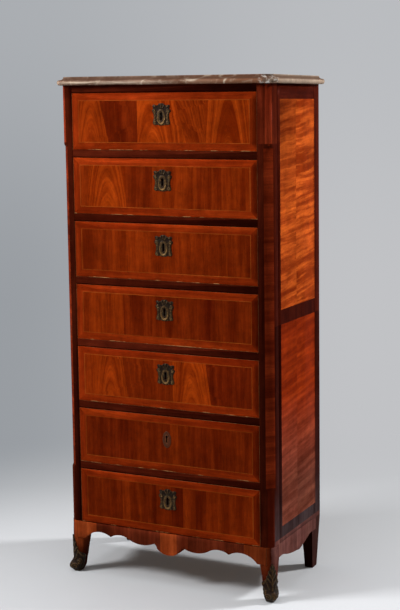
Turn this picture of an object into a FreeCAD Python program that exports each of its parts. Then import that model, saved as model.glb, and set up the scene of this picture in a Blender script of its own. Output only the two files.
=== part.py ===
import FreeCAD, Part
import math
import os
import Sketcher

# A semainier: a tall chest of seven drawers on cabriole front legs, under a moulded marble slab.
# X runs to the right, Y to the back and Z up. The origin lies on the floor, under the middle of the slab.

DRAWER_COUNT = 7
TAIL_COUNT = 3
PLAIN_PLATE_DRAWER = 6

# Driving sizes in millimetres, each with what it measures.
SIZES = [
    ("carcase_width", 645, "over the two sides"),
    ("carcase_depth", 331, "from the drawer fronts to the back"),
    ("base_height", 153.5, "floor to the lowest drawer opening"),
    ("rail_height", 21, "rails between the drawers"),
    ("frieze_height", 21.2, "rail above the top drawer"),
    ("post_width", 37.5, "front post, seen from the front"),
    ("post_depth", 45, "front post, seen from the side"),
    ("corner_cant", 19.4, "how far the cant takes each face back from the corner"),
    ("upper_block", 158, "rounded part of the post above the cant"),
    ("lower_block", 152, "rounded part of the post below the cant"),
    ("cant_stop", 12, "height of the curve that ends the cant"),
    ("tenon_length", 15, "rail tenons in the posts"),
    ("tenon_setback", 8, "shoulder in front of and behind a tenon"),
    ("tenon_shoulder", 5, "shoulder above and below a tenon"),
    ("side_thickness", 16, "boards of the sides"),
    ("tongue_thickness", 6, "tongues of the side and back boards"),
    ("tongue_length", 8, "reach of the tongues into the posts"),
    ("rear_post_width", 36, "rear post, seen from behind"),
    ("rear_post_depth", 40, "rear post, seen from the side"),
    ("rear_leg_depth", 60, "rear leg at its top, seen from the side"),
    ("rear_foot_width", 24, "rear leg at the floor, seen from behind"),
    ("rear_foot_depth", 30, "rear leg at the floor, seen from the side"),
    ("rear_foot_inset", 8, "rear leg at the floor, behind the carcase faces"),
    ("back_thickness", 12, "back board"),
    ("top_board_thickness", 15, "board under the marble"),
    ("runner_width", 22, "bearing of the drawer sides"),
    ("guide_height", 24, "strips that keep the drawers straight"),
    ("stop_length", 11, "blocks behind the drawers"),
    ("stop_height", 10, "blocks behind the drawers"),
    ("dust_thickness", 6, "boards between the drawers"),
    ("bottom_thickness", 8, "board under the lowest drawer"),
    ("dust_groove", 6, "grooves that hold those boards"),
    ("leg_proud", 1, "step from the post out to the leg"),
    ("knee_height", 112, "fullest part of the front leg"),
    ("knee_proud", 1.5, "knee in front of the carcase"),
    ("knee_side", 43, "section at the knee"),
    ("knee_round", 18, "corner of the knee"),
    ("ankle_height", 48, "slimmest part of the front leg"),
    ("ankle_inset", 1.4, "ankle behind the carcase faces"),
    ("ankle_side", 33, "section at the ankle"),
    ("ankle_round", 12, "corner of the ankle"),
    ("toe_height", 12, "widest part of the foot"),
    ("toe_reach", 7, "toe in front of the carcase"),
    ("toe_side", 36, "section at the toe"),
    ("toe_round", 9, "corner of the toe"),
    ("sole_inset", 3, "sole behind the carcase faces"),
    ("sole_side", 21, "section at the floor"),
    ("sole_round", 6, "corner of the sole"),
    ("apron_thickness", 24, "front apron"),
    ("apron_proud", 2, "front apron in front of the carcase"),
    ("pendant_depth", 64, "apron at its lowest point, below the drawers"),
    ("side_apron_depth", 57, "side apron at its lowest point, below the side"),
    ("sabot_thickness", 2.2, "wall of the foot mounts"),
    ("leaf_width", 34, "leaf that climbs the leg, seen from the corner"),
    ("leaf_drop", 4, "tip of the leaf below the knee"),
    ("marble_thickness", 23.5, "slab"),
    ("marble_overhang", 18.5, "slab in front of the carcase and beside it"),
    ("marble_bead", 7.5, "radius of the bead along the slab"),
    ("marble_setback", 17, "upper edge of the slab behind the bead"),
    ("marble_fillet", 3.2, "upright step under the upper edge"),
    ("drawer_height", 156, "drawer front"),
    ("drawer_gap", 0.8, "play around a drawer front"),
    ("front_thickness", 20, "drawer front"),
    ("socket_depth", 13, "dovetail sockets in a drawer front"),
    ("side_wall", 9, "drawer sides"),
    ("side_drop", 14, "drawer sides below the top of the front"),
    ("back_wall", 9, "drawer back"),
    ("back_drop", 4, "drawer back below the sides"),
    ("panel_thickness", 7, "drawer bottom"),
    ("panel_lift", 10, "drawer bottom above the runners"),
    ("panel_groove", 4, "groove around the drawer bottom"),
    ("lock_width", 60, "lock case"),
    ("lock_depth", 11, "lock case"),
    ("lock_foot", 21, "lock case below the keyhole"),
    ("lock_plate", 3, "front wall of the lock case"),
    ("selvedge_width", 76, "plate along the top of the lock"),
    ("selvedge_depth", 15, "plate along the top of the lock"),
    ("selvedge_thickness", 2.5, "plate along the top of the lock"),
    ("bolt_width", 22, "lock bolt"),
    ("bolt_thickness", 5, "lock bolt"),
    ("bolt_foot", 12, "bolt's lower end above the keyhole"),
    ("bolt_backing", 1.8, "rear wall of the lock case"),
    ("bolt_play", 0.3, "play around the bolt"),
    ("bolt_travel", 8, "throw of the bolt"),
    ("talon_width", 9, "notch that the key turns in"),
    ("talon_height", 7, "notch that the key turns in"),
    ("key_height", 57, "keyhole below the top of the drawer"),
    ("keyhole_round", 3.4, "radius of the keyhole's round end"),
    ("keyhole_slot", 4, "width of the keyhole's slot"),
    ("keyhole_length", 17, "keyhole below its round end"),
    ("pin_radius", 1.4, "pin that the key turns on"),
    ("pin_length", 8, "pin that the key turns on"),
    ("mount_width", 54, "cast keyhole mount"),
    ("mount_height", 59, "cast keyhole mount"),
    ("mount_thickness", 2.2, "cast keyhole mount"),
    ("mount_drop", 2, "middle of the mount below the keyhole's round end"),
    ("shield_width", 32, "raised shield on the mount"),
    ("shield_height", 46, "raised shield on the mount"),
    ("shield_relief", 1.6, "shield in front of the mount"),
    ("plate_width", 24, "plain keyhole plate"),
    ("plate_height", 47, "plain keyhole plate"),
    ("plate_thickness", 1.2, "plain keyhole plate"),
    ("plate_drop", 9, "middle of the plate below the keyhole's round end"),
    ("overrun", 5, "reach of a cut past the face that it opens"),
]

# Bulges of bent edges: the tangent of a quarter of the angle that the edge turns through.
QUARTER_SHARE = math.tan(math.pi / 8)
HALF_SHARE = 1

# Lower edge of the front apron, from the middle to the right: shares of the half opening, of the pendant's
# depth, and the bulge of the edge that follows.
APRON_SHARES = [
    (0.000, 1.00, 0.21),
    (0.130, 0.76, -0.22),
    (0.161, 0.56, 0.22),
    (0.430, 0.58, -0.30),
    (0.663, 0.55, -0.37),
    (0.967, 0.77, 0.00),
]
APRON_EAR_SHARE = 0.78

# Lower edge of a side apron, from front to back: shares of the carcase depth, of the apron's depth, and the
# bulge.
SIDE_APRON_SHARES = [
    (0.135, 0.66, -0.10),
    (0.210, 0.66, 0.07),
    (0.490, 0.98, 0.16),
    (0.580, 0.98, 0.04),
    (0.750, 0.66, -0.12),
    (0.820, 0.63, 0.00),
    (0.880, 0.63, 0.00),
]

# Half outlines, from the foot to the top on the right: shares of the half width and of the height, and the
# bulge.
MOUNT_SHARES = [
    (0.00, -1.00, 0.12),
    (0.44, -0.93, -0.16),
    (0.60, -0.94, 0.20),
    (0.84, -0.88, 0.24),
    (0.82, -0.56, -0.10),
    (0.78, -0.06, -0.18),
    (0.86, 0.16, 0.12),
    (1.00, 0.34, 0.50),
    (0.80, 0.48, -0.24),
    (0.86, 0.76, 0.50),
    (0.58, 0.82, -0.30),
    (0.34, 0.88, 0.30),
    (0.00, 1.00, 0.00),
]
SHIELD_SHARES = [
    (0.00, -1.00, 0.30),
    (0.84, -0.40, 0.10),
    (0.90, 0.36, 0.30),
    (0.00, 0.80, 0.00),
]
LEAF_SHARES = [
    (0.00, 0.00, 0.00),
    (1.60, 0.00, 0.00),
    (1.60, 0.40, -0.30),
    (0.66, 0.58, 0.12),
    (0.80, 0.72, 0.45),
    (0.86, 0.82, -0.30),
    (0.56, 0.84, 0.40),
    (0.34, 0.95, 0.24),
    (0.00, 1.00, 0.00),
]

# How far the sections of a front leg narrow across their diagonal, from the post to the floor; 1 is square.
PINCH_SHARES = (1, 0.92, 0.88, 0.70, 0.72)

PLATE_SIDE_SHARE = 0.12
CANT_STOP_SHARE = 0.25
CAVETTO_SHARE = -0.25
TAIL_ROOT_SHARE = 0.50
TAIL_END_SHARE = 0.66

doc = FreeCAD.newDocument("Semainier")
sheet = doc.addObject("Spreadsheet::Sheet", "Dims")
for row, (alias, size, meaning) in enumerate(SIZES, start=1):
    sheet.set(f"A{row}", alias)
    sheet.set(f"B{row}", str(size))
    sheet.set(f"C{row}", meaning)
    sheet.setAlias(f"B{row}", alias)
doc.recompute()

# Places that many pieces share, written as formulas of the sheet.
HALF = "(Dims.carcase_width / 2)"
FRONT = "((Dims.marble_overhang - Dims.carcase_depth) / 2)"
BACK = "((Dims.marble_overhang + Dims.carcase_depth) / 2)"
OPENING_HALF = "(Dims.carcase_width / 2 - Dims.post_width)"
POST_BACK = f"({FRONT} + Dims.post_depth)"
REAR_POST_FRONT = f"({BACK} - Dims.rear_post_depth)"
SIDE_INNER = f"({HALF} - Dims.side_thickness)"
RUNNER_INNER = f"({OPENING_HALF} - Dims.runner_width)"
PITCH = "(Dims.drawer_height + 2 * Dims.drawer_gap + Dims.rail_height)"
CARCASE_TOP = f"(Dims.base_height + {DRAWER_COUNT} * {PITCH} - Dims.rail_height + Dims.frieze_height)"

# Places inside a drawer, measured from the middle of its opening's lower front edge.
DRAWER_HALF = f"({OPENING_HALF} - Dims.drawer_gap)"
DRAWER_DEPTH = "(Dims.carcase_depth - Dims.rear_post_depth - Dims.stop_length)"
DRAWER_TOP = "(Dims.drawer_gap + Dims.drawer_height)"
WALL_TOP = f"({DRAWER_TOP} - Dims.side_drop)"
PANEL_TOP = "(Dims.panel_lift + Dims.panel_thickness)"
KEY_LEVEL = f"({DRAWER_TOP} - Dims.key_height)"
LOCK_FRONT = "(Dims.front_thickness - Dims.lock_depth)"
BOLT_FRONT = "(Dims.front_thickness - Dims.bolt_backing - Dims.bolt_thickness)"

nodes = []


def value(expression):
    """Number that a formula of the sheet gives."""
    return float(sheet.evalExpression(expression))


def node(piece):
    """Keep a finished piece for writing, under the label that names its file."""
    nodes.append(piece)
    return piece


def place(piece, *corner):
    """Bind the three coordinates of a piece's place."""
    for axis, expression in zip("xyz", corner):
        piece.setExpression(f"Placement.Base.{axis}", expression)


def board(name, low, high):
    """Board between two opposite corners."""
    piece = doc.addObject("Part::Box", name)
    for side, start, end in zip(("Length", "Width", "Height"), low, high):
        piece.setExpression(side, f"({end}) - ({start})")
    place(piece, *low)
    return piece


def fuse(name, *pieces):
    """One solid from pieces that meet."""
    result = doc.addObject("Part::MultiFuse", name)
    result.Shapes = list(pieces)
    result.Refine = True
    return result


def cut(name, base, *tools):
    """What is left of a piece once others have been taken out of it."""
    for index, tool in enumerate(tools, start=1):
        is_last = index == len(tools)
        result = doc.addObject("Part::Cut", name if is_last else f"{name}_cut_{index}")
        result.Base = base
        result.Tool = tool
        base = result
    return base


def common(name, first, second):
    """What two pieces share."""
    result = doc.addObject("Part::Common", name)
    result.Base = first
    result.Tool = second
    return result


def group(name, pieces):
    """Separate solids that share a node."""
    result = doc.addObject("Part::Compound", name)
    result.Links = list(pieces)
    return result


def mirror(name, source):
    """The same piece on the other hand."""
    twin = doc.addObject("Part::Mirroring", name)
    twin.Source = source
    twin.Normal = FreeCAD.Vector(1, 0, 0)
    return twin


def bent_edge(start, finish, bulge):
    """Arc between two points of an outline."""
    chord = finish - start
    left = FreeCAD.Vector(-chord.y, chord.x, 0)
    centre = (start + finish) * (1 / 2) + left * ((1 - bulge**2) / (4 * bulge))
    radius = chord.Length * (1 + bulge**2) / (4 * abs(bulge))
    ends = (start, finish) if bulge > 0 else (finish, start)
    angles = [math.atan2(end.y - centre.y, end.x - centre.x) for end in ends]
    if angles[1] < angles[0]:
        angles[1] += 2 * math.pi
    return Part.ArcOfCircle(Part.Circle(centre, FreeCAD.Vector(0, 0, 1), radius), *angles)


def trace(sketch, corners):
    """Draw a closed outline and bind its corners, given as (x, y) or (x, y, bulge of the next edge)."""
    points = [FreeCAD.Vector(value(corner[0]), value(corner[1]), 0) for corner in corners]
    edges = []
    ends = []
    constraints = []
    formulas = []
    for index, corner in enumerate(corners):
        start, finish = points[index], points[(index + 1) % len(points)]
        bulge = corner[2] if len(corner) > 2 else 0
        if bulge:
            edges.append(bent_edge(start, finish, bulge))
            turn = 4 * math.atan(abs(bulge))
            constraints.append(Sketcher.Constraint("Angle", index, turn))
        else:
            edges.append(Part.LineSegment(start, finish))
        ends.append((2, 1) if bulge < 0 else (1, 2))
    for index, corner in enumerate(corners):
        previous = (index - 1) % len(corners)
        joined = (previous, ends[previous][1], index, ends[index][0])
        constraints.append(Sketcher.Constraint("Coincident", *joined))
        for kind, expression in zip(("DistanceX", "DistanceY"), corner):
            formulas.append((len(constraints), expression))
            constraints.append(Sketcher.Constraint(kind, -1, 1, index, ends[index][0], value(expression)))
    sketch.addGeometry(edges)
    sketch.addConstraint(constraints)
    for index, expression in formulas:
        sketch.setExpression(f"Constraints[{index}]", expression)


def outline(body, name, plane, corners, shift=("0", "0", "0"), turn=0):
    """Sketch on an origin plane of a body, shifted in the plane's axes and turned about its upright axis."""
    sketch = body.newObject("Sketcher::SketchObject", name)
    support = next(feature for feature in body.Origin.OriginFeatures if feature.Role == plane)
    sketch.AttachmentSupport = (support, [""])
    sketch.MapMode = "FlatFace"
    turned = FreeCAD.Rotation(FreeCAD.Vector(0, 1, 0), turn)
    sketch.AttachmentOffset = FreeCAD.Placement(FreeCAD.Vector(), turned)
    for axis, expression in zip("xyz", shift):
        sketch.setExpression(f"AttachmentOffset.Base.{axis}", expression)
    trace(sketch, corners)
    return sketch


def pad(body, name, sketch, length, sides="One side"):
    """Thickness given to an outline."""
    feature = body.newObject("PartDesign::Pad", name)
    feature.Profile = sketch
    feature.SideType = sides
    feature.setExpression("Length", length)
    return feature


def prism(name, plane, corners, length, shift=("0", "0", "0"), turn=0, sides="One side"):
    """Body with one outline and one thickness."""
    body = doc.addObject("PartDesign::Body", name)
    sketch = outline(body, f"{name}_outline", plane, corners, shift, turn)
    pad(body, f"{name}_pad", sketch, length, sides)
    return body


def loft(name, sections):
    """Body through level outlines, given as (height, corners) from the first to the last."""
    body = doc.addObject("PartDesign::Body", name)
    sketches = []
    for number, (height, corners) in enumerate(sections, start=1):
        sketches.append(outline(body, f"{name}_section_{number}", "XY_Plane", corners, ("0", "0", height)))
    feature = body.newObject("PartDesign::AdditiveLoft", f"{name}_loft")
    feature.Profile = sketches[0]
    feature.Sections = sketches[1:]
    return body


def both_halves(half):
    """Closed outline from its right half, which runs from the foot to the top."""
    left = [("-(" + half[i][0] + ")", half[i][1], half[i - 1][2]) for i in range(len(half) - 1, 0, -1)]
    return half[:-1] + left


def opening_floor(number):
    """Level that a drawer runs on; the first drawer is the top one."""
    return f"(Dims.base_height + {DRAWER_COUNT - number} * {PITCH})"


def drawer_rails():
    """Frieze rail and the rails below it, with tenons, dust board grooves and mortises for the bolts."""
    rails = []
    for number in range(DRAWER_COUNT):
        if number == 0:
            top = CARCASE_TOP
            bottom = f"({CARCASE_TOP} - Dims.frieze_height)"
        else:
            top = opening_floor(number)
            bottom = f"({top} - Dims.rail_height)"
        body = board(
            f"rail_{number}_body", (f"-{OPENING_HALF}", FRONT, bottom), (OPENING_HALF, POST_BACK, top)
        )
        tenon_end = f"({OPENING_HALF} + Dims.tenon_length)"
        tenon = board(
            f"rail_{number}_tenon",
            (f"-{tenon_end}", f"{FRONT} + Dims.tenon_setback", f"{bottom} + Dims.tenon_shoulder"),
            (tenon_end, f"{POST_BACK} - Dims.tenon_setback", f"{top} - Dims.tenon_shoulder"),
        )
        mortise_back = f"{FRONT} + {BOLT_FRONT} + Dims.bolt_thickness + Dims.bolt_play"
        mortise = board(
            f"rail_{number}_mortise",
            ("-Dims.bolt_width / 2 - Dims.bolt_play", f"{FRONT} + {BOLT_FRONT} - Dims.bolt_play",
             f"{bottom} - Dims.overrun"),
            ("Dims.bolt_width / 2 + Dims.bolt_play", mortise_back, f"{bottom} + Dims.bolt_travel"),
        )
        blank = fuse(f"rail_{number}_blank", body, tenon)
        tools = [mortise] if number == 0 else [mortise, dust_boards[number - 1]]
        rails.append(cut(f"rail_{number}", blank, *tools))
    return rails


def dust_board(name, number, front, thickness):
    """Board level with the rail below a drawer, held in the grooves of the runners."""
    edge = f"({RUNNER_INNER} + Dims.dust_groove)"
    middle = f"({opening_floor(number)} - Dims.rail_height / 2)"
    low = (f"-{edge}", front, f"{middle} - {thickness} / 2")
    high = (edge, f"{BACK} - Dims.back_thickness", f"{middle} + {thickness} / 2")
    return board(name, low, high)


def runners(number, *tools):
    """Runner and guide on each side of an opening; the runner is let in for the pieces given."""
    level = opening_floor(number)
    bearing = board(
        f"bearing_{number}",
        (RUNNER_INNER, POST_BACK, f"{level} - Dims.rail_height"),
        (SIDE_INNER, REAR_POST_FRONT, level),
    )
    right_runner = cut(f"right_runner_{number}", bearing, *tools)
    right_guide = board(
        f"right_guide_{number}",
        (OPENING_HALF, POST_BACK, level),
        (SIDE_INNER, REAR_POST_FRONT, f"{level} + Dims.guide_height"),
    )
    left_runner = mirror(f"left_runner_{number}", right_runner)
    left_guide = mirror(f"left_guide_{number}", right_guide)
    return [right_runner, left_runner, right_guide, left_guide]


def stops(number):
    """Blocks on the runners that a shut drawer rests against."""
    level = opening_floor(number)
    right = board(
        f"right_stop_{number}",
        (RUNNER_INNER, f"{FRONT} + {DRAWER_DEPTH}", level),
        (OPENING_HALF, REAR_POST_FRONT, f"{level} + Dims.stop_height"),
    )
    return [right, mirror(f"left_stop_{number}", right)]


def side_panel():
    """Side board with a tongue along each upright edge."""
    middle = f"({HALF} - Dims.side_thickness / 2)"
    face = board(
        "side_face", (SIDE_INNER, POST_BACK, "Dims.base_height"), (HALF, REAR_POST_FRONT, CARCASE_TOP)
    )
    tongue = board(
        "side_tongue",
        (f"{middle} - Dims.tongue_thickness / 2", f"{POST_BACK} - Dims.tongue_length", "Dims.base_height"),
        (f"{middle} + Dims.tongue_thickness / 2", f"{REAR_POST_FRONT} + Dims.tongue_length", CARCASE_TOP),
    )
    return fuse("right_side_panel", face, tongue)


def back_panel():
    """Back board with a tongue along each upright edge."""
    edge = f"({HALF} - Dims.rear_post_width)"
    foot = "Dims.base_height - Dims.rail_height"
    middle = f"({BACK} - Dims.back_thickness / 2)"
    face = board("back_face", (f"-{edge}", f"{BACK} - Dims.back_thickness", foot), (edge, BACK, CARCASE_TOP))
    tongue = board(
        "back_tongue",
        (f"-({edge} + Dims.tongue_length)", f"{middle} - Dims.tongue_thickness / 2", foot),
        (f"{edge} + Dims.tongue_length", f"{middle} + Dims.tongue_thickness / 2", CARCASE_TOP),
    )
    return fuse("back_panel", face, tongue)


def leg_section(reach, side, rounding, pinch_share):
    """Level section of a front leg: a square narrowed across its diagonal, with a rounded outer corner."""
    right = f"({HALF} + ({reach}))"
    front = f"({FRONT} - ({reach}))"
    near = f"{(1 - pinch_share) / 2} * ({side})"
    far = f"{(1 + pinch_share) / 2} * ({side})"
    tangent = f"({rounding}) / {pinch_share * math.sqrt(2 * (1 + pinch_share**2))}"
    short = f"{1 - pinch_share} * {tangent}"
    long = f"{1 + pinch_share} * {tangent}"
    bulge = math.tan(math.pi / 4 - math.atan(pinch_share) / 2)
    return [
        (f"{right} - {far}", f"{front} + {near}"),
        (f"{right} - {long}", f"{front} + {short}", bulge),
        (f"{right} - {short}", f"{front} + {long}"),
        (f"{right} - {near}", f"{front} + {far}"),
        (f"{right} - ({side})", f"{front} + ({side})"),
    ]


def leg_levels(growth):
    """Sections of a front leg from the post to the floor, each grown all round, with ones halfway."""
    levels = [
        ("Dims.base_height", "Dims.leg_proud", "Dims.post_width + Dims.leg_proud",
         "Dims.corner_cant + Dims.leg_proud"),
        ("Dims.knee_height", "Dims.knee_proud", "Dims.knee_side", "Dims.knee_round"),
        ("Dims.ankle_height", "-Dims.ankle_inset", "Dims.ankle_side", "Dims.ankle_round"),
        ("Dims.toe_height", "Dims.toe_reach", "Dims.toe_side", "Dims.toe_round"),
        ("0", "-Dims.sole_inset", "Dims.sole_side", "Dims.sole_round"),
    ]
    steps = [(*levels[0], PINCH_SHARES[0])]
    for index in range(1, len(levels)):
        halfway = [f"(({above}) + ({below})) / 2" for above, below in zip(levels[index - 1], levels[index])]
        steps.append((*halfway, (PINCH_SHARES[index - 1] + PINCH_SHARES[index]) / 2))
        steps.append((*levels[index], PINCH_SHARES[index]))
    sections = []
    for height, reach, side, rounding, pinch_share in steps:
        grown = (f"{reach} + {growth}", f"{side} + 2 * {growth}", f"{rounding} + {growth}")
        sections.append((height, leg_section(*grown, pinch_share)))
    return sections


def front_post():
    """Right front post: rounded blocks, a stopped cant between them, and the leg below."""
    upright = prism(
        "post_upright", "XY_Plane",
        [
            (OPENING_HALF, FRONT),
            (f"{HALF} - Dims.corner_cant", FRONT, QUARTER_SHARE),
            (HALF, f"{FRONT} + Dims.corner_cant"),
            (HALF, POST_BACK),
            (OPENING_HALF, POST_BACK),
        ],
        f"{CARCASE_TOP} - Dims.base_height",
        shift=("0", "0", "Dims.base_height"),
    )
    depth = "-Dims.corner_cant / sqrt(2)"
    low = "(Dims.base_height + Dims.lower_block)"
    high = f"({CARCASE_TOP} - Dims.upper_block)"
    cant = prism(
        "post_cant", "XZ_Plane",
        [
            ("Dims.overrun", low),
            ("Dims.overrun", high, CANT_STOP_SHARE),
            (depth, f"{high} - Dims.cant_stop"),
            (depth, f"{low} + Dims.cant_stop", CANT_STOP_SHARE),
        ],
        "4 * Dims.corner_cant",
        shift=(HALF, "0", f"-{FRONT}"),
        turn=-45,
        sides="Symmetric",
    )
    canted = cut("post_canted", upright, cant)
    leg = loft("front_leg", leg_levels("0"))
    whole = fuse("post_whole", canted, leg)
    return cut("right_front_post", whole, rail_group, right_side), leg


def rear_post():
    """Right rear post, and its leg, which is deeper than the post at its top and tapers on all sides."""
    upright = board(
        "rear_upright",
        (f"{HALF} - Dims.rear_post_width", REAR_POST_FRONT, "Dims.base_height"),
        (HALF, BACK, CARCASE_TOP),
    )
    sections = []
    for height, width, depth, inset in (
        ("Dims.base_height", "Dims.rear_post_width", "Dims.rear_leg_depth", "0"),
        ("0", "Dims.rear_foot_width", "Dims.rear_foot_depth", "Dims.rear_foot_inset"),
    ):
        right = f"({HALF} - {inset})"
        rear = f"({BACK} - {inset})"
        corners = [
            (f"{right} - {width}", f"{rear} - {depth}"),
            (right, f"{rear} - {depth}"),
            (right, rear),
            (f"{right} - {width}", rear),
        ]
        sections.append((height, corners))
    leg = loft("rear_leg", sections)
    whole = fuse("rear_whole", upright, leg)
    return cut("right_rear_post", whole, right_side, back), leg


def front_apron():
    """Shaped board below the lowest drawer, fitted between the legs."""
    half = [
        (f"{x_share} * {OPENING_HALF}", f"Dims.base_height - {depth_share} * Dims.pendant_depth", bulge)
        for x_share, depth_share, bulge in APRON_SHARES
    ]
    end = f"({HALF} - Dims.corner_cant)"
    ear = f"Dims.base_height - {APRON_EAR_SHARE} * Dims.pendant_depth"
    half += [(end, ear, 0), (end, "Dims.base_height", 0), ("0", "Dims.base_height", 0)]
    blank = prism(
        "apron_blank", "XZ_Plane", both_halves(half), "Dims.apron_thickness",
        shift=("0", "0", f"-({FRONT} - Dims.apron_proud + Dims.apron_thickness)"),
    )
    return cut("front_apron", blank, right_post, left_post)


def side_aprons():
    """Shaped boards below the sides, fitted between the front and the rear legs."""
    lower = []
    for y_share, z_share, bulge in SIDE_APRON_SHARES:
        level = f"Dims.base_height - {z_share} * Dims.side_apron_depth"
        lower.append((f"{FRONT} + {y_share} * Dims.carcase_depth", level, bulge))
    front = f"{FRONT} + Dims.post_width - Dims.leg_proud"
    rear = f"{BACK} - Dims.rear_leg_depth / 2"
    upper = [(rear, lower[-1][1]), (rear, "Dims.base_height"), (front, "Dims.base_height")]
    corners = [(front, lower[0][1]), *lower, *upper]
    blank = prism(
        "side_apron_blank", "YZ_Plane", corners, "Dims.side_thickness", shift=("0", "0", SIDE_INNER)
    )
    right = cut("right_side_apron", blank, right_post, right_rear)
    return group("side_aprons", [right, mirror("left_side_apron", right)])


def sabot():
    """Right foot mount: a shell round the outer faces of the foot, with a leaf that climbs the corner."""
    shell = loft("sabot_shell", leg_levels("Dims.sabot_thickness"))
    tip = "(Dims.knee_height - Dims.leaf_drop)"
    half = [
        (f"{x_share} * Dims.leaf_width / 2", f"{z_share} * {tip}", bulge)
        for x_share, z_share, bulge in LEAF_SHARES
    ]
    leaf = prism(
        "sabot_leaf", "XZ_Plane", both_halves(half), "2 * Dims.ankle_side",
        shift=(f"{HALF} - Dims.ankle_side / 2", "0", f"-({FRONT} + Dims.ankle_side / 2)"),
        turn=45,
    )
    kept = common("sabot_solid", shell, leaf)
    return cut("right_sabot", kept, front_leg)


def marble_top():
    """Slab with canted front corners; its bead, cavetto and step run round the front, cants and sides."""
    floor = CARCASE_TOP
    top = f"({floor} + Dims.marble_thickness)"
    step = f"({top} - Dims.marble_fillet)"
    bead_top = f"({floor} + 2 * Dims.marble_bead)"
    half_width = f"({HALF} + Dims.marble_overhang)"
    half_depth = "((Dims.carcase_depth + Dims.marble_overhang) / 2)"
    cut_back = "(Dims.corner_cant + (2 - sqrt(2)) * Dims.marble_overhang)"
    cant_face = f"(({half_width} + {half_depth} - {cut_back}) / sqrt(2))"
    far_face = f"(({half_width} + {half_depth}) / sqrt(2))"

    def rising_edge(face):
        """Moulded edge from the underside up to the top, on the right of an outline."""
        return [
            (f"{face} - Dims.marble_bead", floor, HALF_SHARE),
            (f"{face} - Dims.marble_bead", bead_top, CAVETTO_SHARE),
            (f"{face} - Dims.marble_setback", step),
            (f"{face} - Dims.marble_setback", top),
        ]

    def falling_edge(face):
        """Moulded edge from the top down to the underside, on the left of an outline."""
        return [
            (f"{face} + Dims.marble_setback", top),
            (f"{face} + Dims.marble_setback", step, CAVETTO_SHARE),
            (f"{face} + Dims.marble_bead", bead_top, HALF_SHARE),
            (f"{face} + Dims.marble_bead", floor),
        ]

    lengthwise = prism(
        "slab_lengthwise", "YZ_Plane",
        [(half_depth, floor), (half_depth, top)] + falling_edge(f"-{half_depth}"),
        f"2 * {half_width}", sides="Symmetric",
    )
    crosswise = prism(
        "slab_crosswise", "XZ_Plane", rising_edge(half_width) + falling_edge(f"-{half_width}"),
        f"2 * {half_depth}", sides="Symmetric",
    )
    right_cant = prism(
        "slab_right_cant", "XZ_Plane",
        rising_edge(cant_face) + [(f"-{far_face}", top), (f"-{far_face}", floor)],
        f"2 * {far_face}", turn=-45, sides="Symmetric",
    )
    oblong = common("slab_oblong", lengthwise, crosswise)
    cants = common("slab_cants", right_cant, mirror("slab_left_cant", right_cant))
    return common("marble_top", oblong, cants)


def drawer_wall(name):
    """Right side of a drawer, with tails for the front and for the back."""
    shoulder = "Dims.front_thickness"
    tail_end = "(Dims.front_thickness - Dims.socket_depth)"
    rear = DRAWER_DEPTH
    rear_root = f"({DRAWER_DEPTH} - Dims.back_wall)"
    back_top = f"({WALL_TOP} - Dims.back_drop)"
    corners = [(shoulder, "0"), (rear, "0")]
    pin_pitch = f"(({back_top} - {PANEL_TOP}) / {TAIL_COUNT})"
    for count in range(TAIL_COUNT):
        middle = f"({PANEL_TOP} + {count + 1 / 2} * {pin_pitch})"
        narrow = f"{(1 - TAIL_END_SHARE) / 2} * {pin_pitch}"
        broad = f"{(1 - TAIL_ROOT_SHARE) / 2} * {pin_pitch}"
        corners += [
            (rear, f"{middle} - {narrow}"),
            (rear_root, f"{middle} - {broad}"),
            (rear_root, f"{middle} + {broad}"),
            (rear, f"{middle} + {narrow}"),
        ]
    corners += [(rear, WALL_TOP), (shoulder, WALL_TOP)]
    tail_pitch = f"({WALL_TOP} / {TAIL_COUNT})"
    for count in reversed(range(TAIL_COUNT)):
        middle = f"({count + 1 / 2} * {tail_pitch})"
        narrow = f"{TAIL_ROOT_SHARE / 2} * {tail_pitch}"
        broad = f"{TAIL_END_SHARE / 2} * {tail_pitch}"
        corners += [
            (shoulder, f"{middle} + {narrow}"),
            (tail_end, f"{middle} + {broad}"),
            (tail_end, f"{middle} - {broad}"),
            (shoulder, f"{middle} - {narrow}"),
        ]
    inner_face = f"{DRAWER_HALF} - Dims.side_wall"
    return prism(name, "YZ_Plane", corners, "Dims.side_wall", shift=("0", "0", inner_face))


def keyhole(name):
    """Keyhole through the mount, the drawer front and the front wall of the lock."""
    half_slot = "Dims.keyhole_slot / 2"
    turn = 2 * math.pi - 2 * math.asin(value("Dims.keyhole_slot / 2 / Dims.keyhole_round"))
    neck = f"{KEY_LEVEL} - sqrt(Dims.keyhole_round^2 - Dims.keyhole_slot^2 / 4)"
    foot = f"{KEY_LEVEL} - Dims.keyhole_length"
    corners = [
        (f"-{half_slot}", foot),
        (half_slot, foot),
        (half_slot, neck, math.tan(turn / 4)),
        (f"-{half_slot}", neck),
    ]
    rear = f"({LOCK_FRONT} + Dims.lock_plate)"
    reach = f"{rear} + Dims.mount_thickness + Dims.shield_relief + Dims.overrun"
    return prism(name, "XZ_Plane", corners, reach, shift=("0", "0", f"-{rear}"))


def cast_mount(name):
    """Cast keyhole mount: a scrolled plate with a raised shield."""
    body = doc.addObject("PartDesign::Body", name)
    level = f"({KEY_LEVEL} - Dims.mount_drop)"
    raised = "Dims.mount_thickness + Dims.shield_relief"
    for part, shares, width, height, depth in (
        ("plate", MOUNT_SHARES, "Dims.mount_width", "Dims.mount_height", "Dims.mount_thickness"),
        ("shield", SHIELD_SHARES, "Dims.shield_width", "Dims.shield_height", raised),
    ):
        half = [(f"{x} * {width} / 2", f"{level} + {z} * {height} / 2", bulge) for x, z, bulge in shares]
        sketch = outline(body, f"{name}_{part}_outline", "XZ_Plane", both_halves(half))
        pad(body, f"{name}_{part}", sketch, depth)
    return body


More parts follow.
